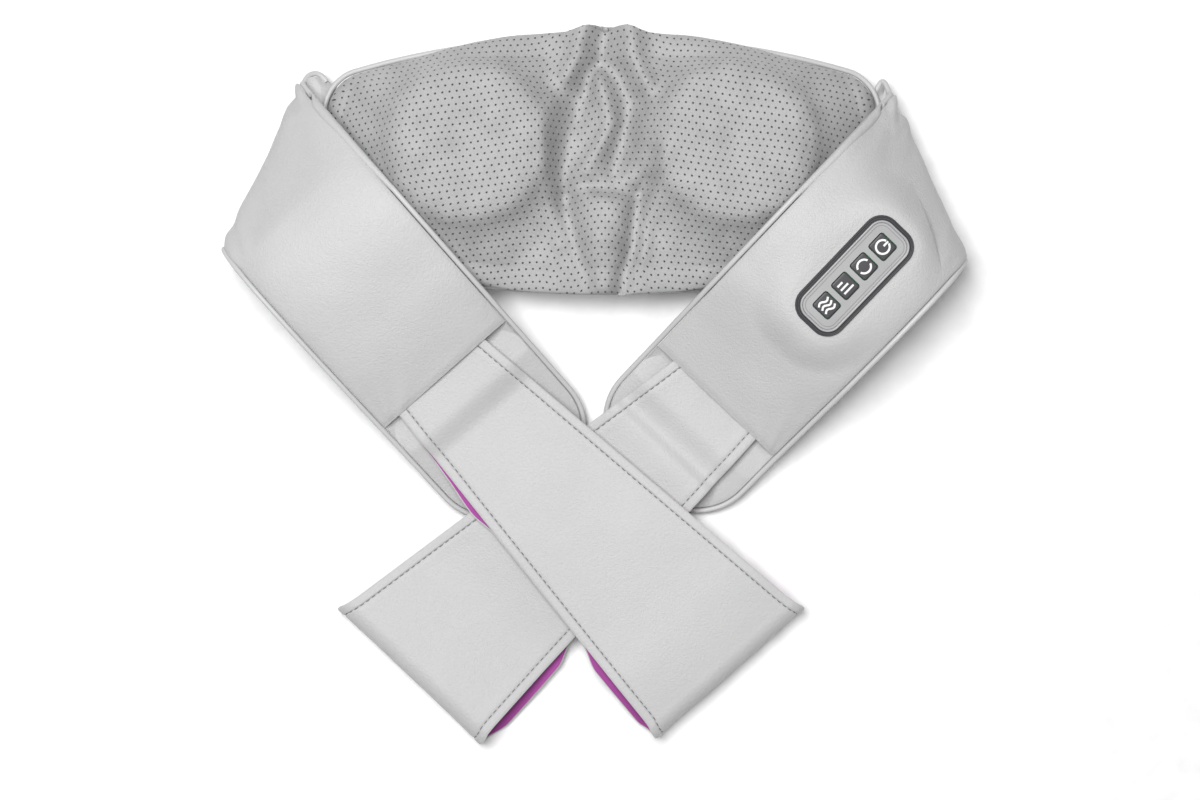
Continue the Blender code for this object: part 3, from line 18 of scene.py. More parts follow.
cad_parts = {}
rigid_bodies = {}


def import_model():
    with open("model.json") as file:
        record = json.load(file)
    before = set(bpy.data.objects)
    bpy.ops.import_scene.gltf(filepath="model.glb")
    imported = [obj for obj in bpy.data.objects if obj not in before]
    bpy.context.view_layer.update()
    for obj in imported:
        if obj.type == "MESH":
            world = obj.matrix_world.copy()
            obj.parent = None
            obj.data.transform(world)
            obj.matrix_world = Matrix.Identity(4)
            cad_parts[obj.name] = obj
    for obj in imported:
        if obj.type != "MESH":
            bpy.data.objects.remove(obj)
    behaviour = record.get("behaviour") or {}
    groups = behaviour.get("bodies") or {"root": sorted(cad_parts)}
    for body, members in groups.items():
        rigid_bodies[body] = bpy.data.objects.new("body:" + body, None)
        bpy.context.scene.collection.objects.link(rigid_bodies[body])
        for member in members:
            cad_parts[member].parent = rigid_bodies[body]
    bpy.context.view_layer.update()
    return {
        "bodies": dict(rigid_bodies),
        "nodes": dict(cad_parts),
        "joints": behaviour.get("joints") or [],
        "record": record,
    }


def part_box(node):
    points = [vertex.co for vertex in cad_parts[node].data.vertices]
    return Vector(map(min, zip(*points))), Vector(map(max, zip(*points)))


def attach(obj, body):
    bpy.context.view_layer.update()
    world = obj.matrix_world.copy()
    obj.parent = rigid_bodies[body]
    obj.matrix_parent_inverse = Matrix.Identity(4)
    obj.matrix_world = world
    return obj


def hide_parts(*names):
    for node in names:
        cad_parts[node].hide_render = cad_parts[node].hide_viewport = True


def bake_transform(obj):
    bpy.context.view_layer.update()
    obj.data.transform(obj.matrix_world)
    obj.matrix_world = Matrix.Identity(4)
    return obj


LOG = logging.getLogger("massager")
MM = 0.001
METRE = 1000.0
GAP = 0.4
Grid = np.ndarray


# ---------------------------------------------------------------- curves and grids
class Curve:
    """Monotone cubic through (x, y) points, level beyond both ends."""

    def __init__(self, *points: tuple[float, float]) -> None:
        """Work out the slopes.

        Args:
            points: the (x, y) points, with x rising.
        """
        self.x, self.y = np.array(points, float).T
        secant = np.diff(self.y) / np.diff(self.x)
        before, after = secant[:-1], secant[1:]
        alike = before * after > 0
        total = np.where(alike, before + after, 1.0)
        inner = np.where(alike, 2.0 * before * after / total, 0.0)
        self.slope = np.concatenate(([secant[0]], inner, [secant[-1]]))

    def __call__(self, at: Grid | float) -> Grid:
        """Value at a place.

        Args:
            at: one number or an array of them.

        Returns:
            The curve's values there.
        """
        at = np.clip(at, self.x[0], self.x[-1])
        k = np.clip(np.searchsorted(self.x, at, "right") - 1, 0, len(self.x) - 2)
        width = self.x[k + 1] - self.x[k]
        s = (at - self.x[k]) / width
        rise = self.y[k + 1] - self.y[k]
        bend = self.slope[k] * width * s * (1 - s) ** 2 - self.slope[k + 1] * width * s * s * (1 - s)
        return self.y[k] + rise * s * s * (3 - 2 * s) + bend


def mix(low: Grid | float, high: Grid | float, share: Grid | float) -> Grid:
    """Linear step from low to high."""
    return low + (high - low) * share


def ease(low: float, high: float, at: Grid) -> Grid:
    """Smooth step from 0 at low to 1 at high."""
    s = np.clip((np.asarray(at, float) - low) / (high - low), 0.0, 1.0)
    return s * s * (3 - 2 * s)


def ripple(x: Grid, y: Grid, size: float, seed: float) -> Grid:
    """Gentle random waves, the same in each run.

    Args:
        x: first coordinate in millimetres.
        y: second coordinate in millimetres.
        size: length of a wave.
        seed: picks the pattern.

    Returns:
        Heights from about -1 to 1.
    """
    flat = [noise.noise(Vector((p / size, q / size, seed))) for p, q in zip(x.ravel(), y.ravel())]
    return np.array(flat).reshape(x.shape)


def distance_to(x: Grid, y: Grid, path: Sequence[tuple[float, float]]) -> Grid:
    """Shortest distance from each place to a line of points."""
    best = np.full(x.shape, 1e9)
    for (ax, ay), (bx, by) in zip(path, path[1:]):
        run = (bx - ax) ** 2 + (by - ay) ** 2
        share = np.clip(((x - ax) * (bx - ax) + (y - ay) * (by - ay)) / run, 0.0, 1.0)
        best = np.minimum(best, np.hypot(x - ax - share * (bx - ax), y - ay - share * (by - ay)))
    return best


def normals(grid: Grid) -> Grid:
    """Unit normals of a grid of points, from its rows crossed with its columns."""
    down = np.gradient(grid, axis=0)
    over = np.gradient(grid, axis=1)
    raw = np.cross(down, over)
    return raw / np.maximum(np.linalg.norm(raw, axis=2, keepdims=True), 1e-9)


def rounded_outline(length: float, width: float, corner: float, steps: int = 10) -> list[tuple[float, float]]:
    """Outline of a rectangle with round corners, centred on the origin."""
    points = []
    for k, (sx, sy) in enumerate(((1, 1), (-1, 1), (-1, -1), (1, -1))):
        for i in range(steps + 1):
            angle = math.pi / 2 * (k + i / steps)
            points.append((sx * (length / 2 - corner) + corner * math.cos(angle),
                           sy * (width / 2 - corner) + corner * math.sin(angle)))
    return points


# ---------------------------------------------------------------- meshes
@dataclass
class Pieces:
    """Vertices and faces gathered for one mesh, in millimetres."""

    verts: list = field(default_factory=list)
    faces: list = field(default_factory=list)

    def add(self, verts: Sequence, faces: Sequence) -> None:
        """Add a part to the mesh."""
        start = len(self.verts)
        self.verts += [tuple(v) for v in verts]
        self.faces += [[start + i for i in f] for f in faces]

    def skin(self, outer: Grid, inner: Grid, keep: Grid | None = None) -> None:
        """Closed skin between two grids of the same shape.

        Args:
            outer: points of the outside.
            inner: points of the inside.
            keep: False for each cell that is left open.
        """
        rows, columns = outer.shape[:2]
        index = np.arange(rows * columns).reshape(rows, columns)
        other = index + rows * columns
        faces = []
        for i in range(rows - 1):
            for j in range(columns - 1):
                if keep is not None and not keep[i, j]:
                    continue
                faces.append((index[i, j], index[i + 1, j], index[i + 1, j + 1], index[i, j + 1]))
                faces.append((other[i, j], other[i, j + 1], other[i + 1, j + 1], other[i + 1, j]))
        rim = list(index[:, 0]) + list(index[-1, 1:]) + list(index[-2::-1, -1]) + list(index[0, -2:0:-1])
        for a, b in zip(rim, rim[1:] + rim[:1]):
            faces.append((b, a, a + rows * columns, b + rows * columns))
        self.add(np.concatenate((outer.reshape(-1, 3), inner.reshape(-1, 3))), faces)

    def tube(self, path: Grid, radius: float | Grid, sides: int = 10, closed: bool = False) -> None:
        """Round tube along a line of points.

        Args:
            path: points of the middle line.
            radius: one radius, or one for each point.
            sides: number of sides.
            closed: joins the end to the start.
        """
        count = len(path)
        size = np.broadcast_to(radius, (count,))
        run = np.roll(path, -1, 0) - np.roll(path, 1, 0) if closed else np.gradient(path, axis=0)
        run /= np.maximum(np.linalg.norm(run, axis=1, keepdims=True), 1e-9)
        side = np.cross(run, (0.0, 0.0, 1.0))
        side /= np.maximum(np.linalg.norm(side, axis=1, keepdims=True), 1e-9)
        up = np.cross(side, run)
        turn = np.linspace(0, 2 * np.pi, sides, endpoint=False)
        ring = (path[:, None] + size[:, None, None] * (np.cos(turn)[None, :, None] * side[:, None]
                + np.sin(turn)[None, :, None] * up[:, None]))
        faces = []
        for i in range(count if closed else count - 1):
            k = (i + 1) % count
            for j in range(sides):
                n = (j + 1) % sides
                faces.append((i * sides + j, i * sides + n, k * sides + n, k * sides + j))
        if not closed:
            faces.append(tuple(range(sides))[::-1])
            faces.append(tuple((count - 1) * sides + j for j in range(sides)))
        self.add(ring.reshape(-1, 3), faces)

    def rings(self, loops: Sequence[Sequence], cap: bool = True) -> None:
        """Surface through closed loops of points, capped at both ends or joined into a ring."""
        size = len(loops[0])
        faces = []
        for i in range(len(loops) - 1 if cap else len(loops)):
            k = (i + 1) % len(loops)
            for j in range(size):
                n = (j + 1) % size
                faces.append((i * size + j, i * size + n, k * size + n, k * size + j))
        if cap:
            faces.append(tuple(range(size))[::-1])
            faces.append(tuple((len(loops) - 1) * size + j for j in range(size)))
        self.add([p for loop in loops for p in loop], faces)

    def build(self, name: str, finish: "Finish", place: Matrix | None = None, lay: Grid | None = None,
              sharp: float = 40.0) -> bpy.types.Object:
        """Make the object.

        Args:
            name: name of the piece.
            finish: its finish.
            place: frame that the points are in, in metres; the world if left out.
            lay: cloth coordinates of each vertex, in millimetres.
            sharp: angle in degrees above which an edge stays sharp.

        Returns:
            The new object, at the origin.
        """
        mesh = bpy.data.meshes.new(name)
        mesh.from_pydata([tuple(c * MM for c in v) for v in self.verts], [], self.faces)
        if place is not None:
            mesh.transform(place)
        mesh.validate()
        mesh.update()
        if lay is not None:
            cloth = mesh.attributes.new("cloth", "FLOAT_VECTOR", "POINT")
            cloth.data.foreach_set("vector", np.ascontiguousarray(lay, np.float32).ravel())
        made = bpy.data.objects.new(name, mesh)
        bpy.context.scene.collection.objects.link(made)
        mesh.materials.append(finish.material())
        mesh.polygons.foreach_set("use_smooth", [True] * len(mesh.polygons))
        mesh.set_sharp_from_angle(angle=math.radians(sharp))
        return made


def report(piece: bpy.types.Object, body: str, slot: str, *nodes: str) -> bpy.types.Object:
    """Hang a finished piece on its body and log it.

    Args:
        piece: the piece.
        body: body that it moves with.
        slot: the piece's material slot; not used.
        nodes: CAD nodes that it stands for.

    Returns:
        The same piece.
    """
    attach(piece, body)
    if nodes:
        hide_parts(*nodes)
    LOG.info("%s: %d vertices on %s", piece.name, len(piece.data.vertices), body)
    return piece


# ---------------------------------------------------------------- finishes
class Bench:
    """Node tree of one material while it is put together."""

    def __init__(self, name: str) -> None:
        """Start a material with a Principled shader.

        Args:
            name: name of the material.
        """
        self.material = bpy.data.materials.new(name)
        self.material.use_nodes = True
        self.tree = self.material.node_tree
        self.shader = self.tree.nodes["Principled BSDF"]

    def node(self, kind: str, inputs: dict | None = None, **settings: object) -> bpy.types.Node:
        """Add a node.

        Args:
            kind: the node's type.
            inputs: values or sockets for its inputs, by name or number.
            settings: its properties.

        Returns:
            The new node.
        """
        made = self.tree.nodes.new(kind)
        for key, value in settings.items():
            setattr(made, key, value)
        for key, value in (inputs or {}).items():
            if isinstance(value, bpy.types.NodeSocket):
                self.tree.links.new(value, made.inputs[key])
            else:
                made.inputs[key].default_value = value
        return made

    def maths(self, operation: str, first: object, second: object = 0.0) -> bpy.types.NodeSocket:
        """Result of a math node on two numbers or sockets."""
        return self.node("ShaderNodeMath", {0: first, 1: second}, operation=operation).outputs[0]

    def place(self) -> bpy.types.NodeSocket:
        """Coordinates of the rest position in metres."""
        return self.node("ShaderNodeTexCoord").outputs["Object"]

    def cloth(self) -> bpy.types.NodeSocket:
        """Cloth coordinates in millimetres."""
        return self.node("ShaderNodeAttribute", attribute_name="cloth").outputs["Vector"]

    def speckle(self, where: bpy.types.NodeSocket, scale: float, detail: float = 3.0) -> bpy.types.NodeSocket:
        """Random values from 0 to 1 at a scale."""
        made = self.node("ShaderNodeTexNoise", {"Vector": where, "Scale": scale, "Detail": detail})
        return made.outputs[0]

    def between(self, share: object, low: Sequence[float], high: Sequence[float]) -> bpy.types.NodeSocket:
        """Colour mixed between two colours or sockets."""
        made = self.node("ShaderNodeMix", data_type="RGBA")
        for socket, value in zip((made.inputs[0], made.inputs[6], made.inputs[7]), (share, low, high)):
            if isinstance(value, bpy.types.NodeSocket):
                self.tree.links.new(value, socket)
            else:
                socket.default_value = value if socket is made.inputs[0] else (*value, 1.0)
        return made.outputs[2]

    def bump(self, height: bpy.types.NodeSocket, depth: float, under: object = None) -> bpy.types.NodeSocket:
        """Bumped normal.

        Args:
            height: height from 0 to 1.
            depth: depth of the bumps in metres.
            under: normal of a coarser bump below it.

        Returns:
            The normal's socket.
        """
        made = self.node("ShaderNodeBump", {"Height": height, "Distance": depth, "Strength": 1.0})
        if under is not None:
            self.tree.links.new(under, made.inputs["Normal"])
        return made.outputs[0]

    def finish(self, colour: object, roughness: object, normal: object = None, **constants: float) -> None:
        """Feed the shader.

        Args:
            colour: base colour, a socket or three numbers.
            roughness: roughness, a socket or a number.
            normal: normal's socket, if any.
            constants: other shader inputs, with underscores for spaces.
        """
        feeds = {"Base Color": colour, "Roughness": roughness, "Normal": normal}
        for name, value in feeds.items():
            if isinstance(value, bpy.types.NodeSocket):
                self.tree.links.new(value, self.shader.inputs[name])
            elif value is not None:
                self.shader.inputs[name].default_value = (*value, 1.0) if name == "Base Color" else value
        for name, value in constants.items():
            self.shader.inputs[name.replace("_", " ")].default_value = value


def shade(colour: Sequence[float], factor: float) -> tuple[float, ...]:
    """Colour made darker or lighter."""
    return tuple(c * factor for c in colour)


class Finish:
    """A finish whose material is made once and shared."""

    name: str

    def material(self) -> bpy.types.Material:
        """The finish's material."""
        known = bpy.data.materials.get(self.name)
        if known is None:
            bench = Bench(self.name)
            self.mix_in(bench)
            known = bench.material
        return known

    def mix_in(self, bench: Bench) -> None:
        """Build the node tree."""
        raise NotImplementedError


@dataclass(frozen=True)
class Leather(Finish):
    """Grained faux leather with a soft sheen."""

    name: str = "grained_leather"
    colour: tuple[float, float, float] = (0.515, 0.515, 0.515)
    roughness: float = 0.46
    grain: float = 1.8
    depth: float = 0.42

    def mix_in(self, bench: Bench) -> None:
        """Pebbled grain with fine pores, over slow changes of tone."""
        where = bench.place()
        slow = bench.speckle(where, 14.0, 2.0)
        pebble = bench.node("ShaderNodeTexVoronoi", {"Vector": where, "Scale": METRE / self.grain,
                                                     "Randomness": 0.9}, feature="SMOOTH_F1")
        fine = bench.speckle(where, METRE / (self.grain * 0.45), 4.0)
        tone = bench.maths("ADD", bench.maths("MULTIPLY", slow, 0.7), bench.maths("MULTIPLY", fine, 0.3))
        colour = bench.between(tone, shade(self.colour, 0.93), shade(self.colour, 1.07))
        height = bench.maths("ADD", bench.maths("MULTIPLY", pebble.outputs[0], -0.6), fine)
        normal = bench.bump(height, self.depth * MM)
        rough = bench.maths("ADD", bench.maths("MULTIPLY", fine, 0.14), self.roughness - 0.07)
        bench.finish(colour, rough, normal, Specular_IOR_Level=0.42)


@dataclass(frozen=True)
class HoledMesh(Finish):
    """Knitted mesh with pinholes in staggered rows."""

    name: str = "holed_mesh"
    colour: tuple[float, float, float] = (0.42, 0.42, 0.42)
    pitch: float = 5.1
    row: float = 9.4
    hole: float = 0.78
    rib: float = 1.35

    def holes(self, bench: Bench, where: bpy.types.NodeSocket, shift: float) -> bpy.types.NodeSocket:
        """Distance to the nearest hole of one of the two sets of rows."""
        size = (self.pitch, self.row, 1.0)
        cell = bench.node("ShaderNodeVectorMath", {0: where, 1: size}, operation="DIVIDE").outputs[0]
        moved = bench.node("ShaderNodeVectorMath", {0: cell, 1: (shift, shift, 0)}, operation="ADD").outputs[0]
        part = bench.node("ShaderNodeVectorMath", {0: moved}, operation="FRACTION").outputs[0]
        middle = bench.node("ShaderNodeVectorMath", {0: part, 1: (0.5, 0.5, 0.0)}, operation="SUBTRACT").outputs[0]
        real = bench.node("ShaderNodeVectorMath", {0: middle, 1: (self.pitch, self.row, 0.0)},
                          operation="MULTIPLY").outputs[0]
        return bench.node("ShaderNodeVectorMath", {0: real}, operation="LENGTH").outputs["Value"]

    def mix_in(self, bench: Bench) -> None:
        """Pinholes, diagonal ribs of the knit and slow changes of tone."""
        where = bench.cloth()
        near = bench.maths("MINIMUM", self.holes(bench, where, 0.0), self.holes(bench, where, 0.5))
        open_ = bench.node("ShaderNodeMapRange", {"Value": near, "From Min": self.hole * 0.55,
                                                  "From Max": self.hole * 1.25, "To Min": 1.0, "To Max": 0.0},
                           interpolation_type="SMOOTHSTEP").outputs[0]
        split = bench.node("ShaderNodeSeparateXYZ", {0: where})
        step = 2 * math.pi / self.rib
        lean = bench.maths("MULTIPLY", bench.maths("ADD", split.outputs[0], split.outputs[1]), step * 0.7)
        other = bench.maths("MULTIPLY", bench.maths("SUBTRACT", split.outputs[0], split.outputs[1]), step * 0.7)
        knit = bench.maths("MULTIPLY", bench.maths("SINE", lean), bench.maths("SINE", other))
        slow = bench.speckle(where, 0.05, 2.0)
        tone = bench.maths("ADD", bench.maths("MULTIPLY", knit, 0.48), slow)
        cloth = bench.between(tone, shade(self.colour, 0.80), shade(self.colour, 1.18))
        colour = bench.between(open_, cloth, (0.045, 0.045, 0.05))
        height = bench.maths("SUBTRACT", bench.maths("MULTIPLY", knit, 0.35), open_)
        normal = bench.bump(height, 0.35 * MM)
        bench.finish(colour, 0.78, normal, Specular_IOR_Level=0.3, Sheen_Weight=0.15, Sheen_Roughness=0.5)


@dataclass(frozen=True)
class Velour(Finish):
    """Short-piled lining."""

    name: str = "lining_velour"
    colour: tuple[float, float, float] = (0.36, 0.075, 0.31)

    def mix_in(self, bench: Bench) -> None:
        """Pile with small changes of tone."""
        where = bench.place()
        pile = bench.speckle(where, 1600.0, 4.0)
        slow = bench.speckle(where, 60.0, 2.0)
        tone = bench.maths("MULTIPLY", bench.maths("ADD", pile, slow), 0.5)
        colour = bench.between(tone, shade(self.colour, 0.75), shade(self.colour, 1.25))
        bench.finish(colour, 0.85, bench.bump(pile, 0.25 * MM), Specular_IOR_Level=0.2,
                     Sheen_Weight=0.4, Sheen_Roughness=0.4)


@dataclass(frozen=True)
class Moulded(Finish):
    """Moulded plastic or rubber with a fine spark-eroded texture."""

    name: str
    colour: tuple[float, float, float]
    roughness: float = 0.5
    depth: float = 0.04
    metallic: float = 0.0
    clear: float = 0.0

    def mix_in(self, bench: Bench) -> None:
        """Fine pits, with faint wear in the tone."""
        where = bench.place()
        pits = bench.speckle(where, 2600.0, 3.0)
        wear = bench.speckle(where, 55.0, 3.0)
        colour = bench.between(wear, shade(self.colour, 0.9), shade(self.colour, 1.1))
        rough = bench.maths("ADD", bench.maths("MULTIPLY", wear, 0.16), self.roughness - 0.08)
        bench.finish(colour, rough, bench.bump(pits, self.depth * MM), Metallic=self.metallic,
                     Transmission_Weight=self.clear)


@dataclass(frozen=True)
class Metal(Finish):
    """Ground or turned metal with fine lines."""

    name: str
    colour: tuple[float, float, float]
    roughness: float = 0.3

    def mix_in(self, bench: Bench) -> None:
        """Lines drawn out along one way."""
        where = bench.place()
        long = bench.node("ShaderNodeMapping", {"Vector": where, "Scale": (1.0, 1.0, 22.0)}).outputs[0]
        lines = bench.speckle(long, 420.0, 4.0)
        colour = bench.between(lines, shade(self.colour, 0.88), shade(self.colour, 1.08))
        rough = bench.maths("ADD", bench.maths("MULTIPLY", lines, 0.2), self.roughness - 0.1)
        bench.finish(colour, rough, bench.bump(lines, 0.02 * MM), Metallic=1.0)


@dataclass(frozen=True)
class Foam(Finish):
    """Open-celled foam."""

    name: str = "open_foam"
    colour: tuple[float, float, float] = (0.72, 0.68, 0.58)

    def mix_in(self, bench: Bench) -> None:
        """Cells with darker middles."""
        cells = bench.node("ShaderNodeTexVoronoi", {"Vector": bench.place(), "Scale": 700.0}).outputs[0]
        colour = bench.between(cells, shade(self.colour, 1.1), shade(self.colour, 0.6))
        bench.finish(colour, 0.95, bench.bump(cells, 0.5 * MM))


@dataclass(frozen=True)
class Circuit(Finish):
    """Printed board with tracks under its mask."""

    name: str = "circuit_mask"
    colour: tuple[float, float, float] = (0.04, 0.20, 0.09)

    def mix_in(self, bench: Bench) -> None:
        """Tracks that run square to each other."""
        tracks = bench.node("ShaderNodeTexBrick", {"Vector": bench.place(), "Scale": 260.0,
                                                   "Mortar Size": 0.09}).outputs["Fac"]
        colour = bench.between(tracks, self.colour, shade(self.colour, 1.9))
        bench.finish(colour, 0.35, bench.bump(tracks, 0.05 * MM))


LEATHER = Leather()
PIPING = Leather(name="piping_leather", roughness=0.40, grain=1.2, depth=0.12, colour=(0.53, 0.53, 0.53))
MESH = HoledMesh()
LINING = Velour()
THREAD = Moulded("stitch_thread", (0.16, 0.16, 0.17), 0.7, 0.1)
BEZEL = Moulded("bezel_rubber_dark", (0.055, 0.055, 0.06), 0.52, 0.06)
PLATE = Moulded("panel_satin_grey", (0.38, 0.38, 0.385), 0.38, 0.03)
# Painted shade: grey of the thin ring inside the key panel's rim, standing for the rim's shaded inner line.
PAINTED_SHADE_LINE = Moulded("painted_shade_line_grey", (0.24, 0.24, 0.25), 0.5, 0.03)
KEY = Moulded("key_rubber_black", (0.05, 0.05, 0.055), 0.48, 0.05)
PRINT = Moulded("key_print_pale", (0.86, 0.86, 0.86), 0.5, 0.03)


class CadFinish(Enum):
    """Finish of each material slot, for the CAD nodes that stay."""

    LEATHER = ("leather", LEATHER)
    MESH = ("mesh_fabric", MESH)
    LINING = ("lining", LINING)
    FOAM = ("foam", Foam())
    HOUSING = ("housing_plastic", Moulded("housing_black", (0.035, 0.035, 0.04), 0.5, 0.08))
    GEAR = ("gear_plastic", Moulded("gear_acetal", (0.74, 0.72, 0.65), 0.38, 0.03))
    NODE = ("node_plastic", Moulded("node_grey", (0.20, 0.18, 0.22), 0.42, 0.03))
    STEEL = ("steel", Metal("ground_steel", (0.60, 0.60, 0.62), 0.28))
    BRASS = ("brass", Metal("turned_brass", (0.72, 0.52, 0.24), 0.3))
    LENS = ("heat_lens", Moulded("red_lens", (0.62, 0.03, 0.02), 0.15, 0.01, clear=0.4))
    BOARD = ("circuit_board", Circuit())
    BEZEL = ("bezel_rubber", BEZEL)
    PLATE = ("panel_plastic", PLATE)
    KEY = ("key_rubber", KEY)

    @classmethod
    def of(cls, slot: str) -> Finish:
        """Finish of a slot."""
        return next(member.value[1] for member in cls if member.value[0] == slot)


# ---------------------------------------------------------------- body
@dataclass(frozen=True)
class BodyForm:
    """Outline and heights of the body, measured from its middle."""

    centre: tuple[float, float]
    top: float
    length: float = 410.0
    width: float = 186.0
    band: float = 127.0
    rounding: float = 22.0
    seam_middle: float = 38.0
    seam_end: float = 25.0
    valley: float = 62.0
    back_flat: float = 0.765
    inset: float = 2.4
    head_x: float = 96.06
    head_y: float = 12.0
    circle: float = 41.5
    sweep: float = 60.0

    @classmethod
    def of_frame(cls) -> "BodyForm":
        """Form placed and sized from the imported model."""
        low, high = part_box("body_piping")
        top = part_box("mesh_cover")[1].z * METRE - 1.0
        return cls(((low.x + high.x) / 2 * METRE, (low.y + high.y) / 2 * METRE), top)

    def half_width(self, x: Grid, inset: float = 0.0) -> Grid:
        """Half the body's width at a distance from its middle."""
        half = self.length / 2 - inset
        share = np.minimum(np.abs(x) / half, 1.0)
        width = mix(self.band / 2, self.width / 2, 1.0 - share ** 2.2) - inset
        run = np.clip(np.abs(x) - (half - self.rounding), 0.0, self.rounding)
        return width - self.rounding + np.sqrt(self.rounding ** 2 - run ** 2)

    def seam(self, x: Grid) -> Grid:
        """Height of the seam round the body."""
        return mix(self.seam_middle, self.seam_end, (np.abs(x) / (self.length / 2)) ** 2)

    def crown(self, x: Grid, y: Grid) -> Grid:
        """Height of the front over the heads and the valley."""
        radius = np.hypot(np.abs(x) - self.head_x, y - self.head_y)
        head = Curve((0, self.top + 1), (self.circle + 2, self.top), (self.sweep - 7, self.top - 4),
                     (self.sweep - 2, self.top - 10), (self.sweep + 3, self.top - 19),
                     (self.sweep + 12, self.top - 30), (self.sweep + 36, self.valley - 10))(radius)
        middle = mix(self.seam_end, self.valley, np.maximum(1.0 - (np.abs(x) / self.head_x) ** 2 / 2.2, 0.0))
        step = head - middle
        return middle + 0.5 * (step + np.sqrt(step ** 2 + 9.0))

    def cover(self, x: Grid, y: Grid, across: Grid, along: Grid) -> Grid:
        """Height of the mesh front without its gathers."""
        seam = self.seam(x) + GAP
        edge = (1.0 - np.abs(across) ** 10) ** 0.45 * (1.0 - np.abs(along) ** 12) ** 0.5
        return seam + np.maximum(self.crown(x, y) - seam, 0.0) * edge

    def back(self, x: Grid, across: Grid, along: Grid) -> Grid:
        """Height of the back's outside."""
        side = np.maximum(np.abs(across) - self.back_flat, 0.0) / (1.0 - self.back_flat)
        end = np.maximum(np.abs(along) - self.back_flat, 0.0) / (1.0 - self.back_flat)
        return mix(0.0, self.seam(x) - GAP, 1.0 - (1.0 - side ** 2) * (1.0 - end ** 2))

    def lattice(self, rows: int, columns: int, inset: float) -> tuple[Grid, Grid, Grid, Grid]:
        """Places of a grid over the outline.

        Args:
            rows: number of steps along the body.
            columns: number of steps across it.
            inset: distance kept from the seam.

        Returns:
            x, y, share across and share along, each as a grid.
        """
        along, across = np.meshgrid(np.sin(np.linspace(-1, 1, rows + 1) * np.pi / 2),
                                    np.sin(np.linspace(-1, 1, columns + 1) * np.pi / 2), indexing="ij")
        x = (self.length / 2 - inset) * along
        return x, self.half_width(x, inset) * across, across, along


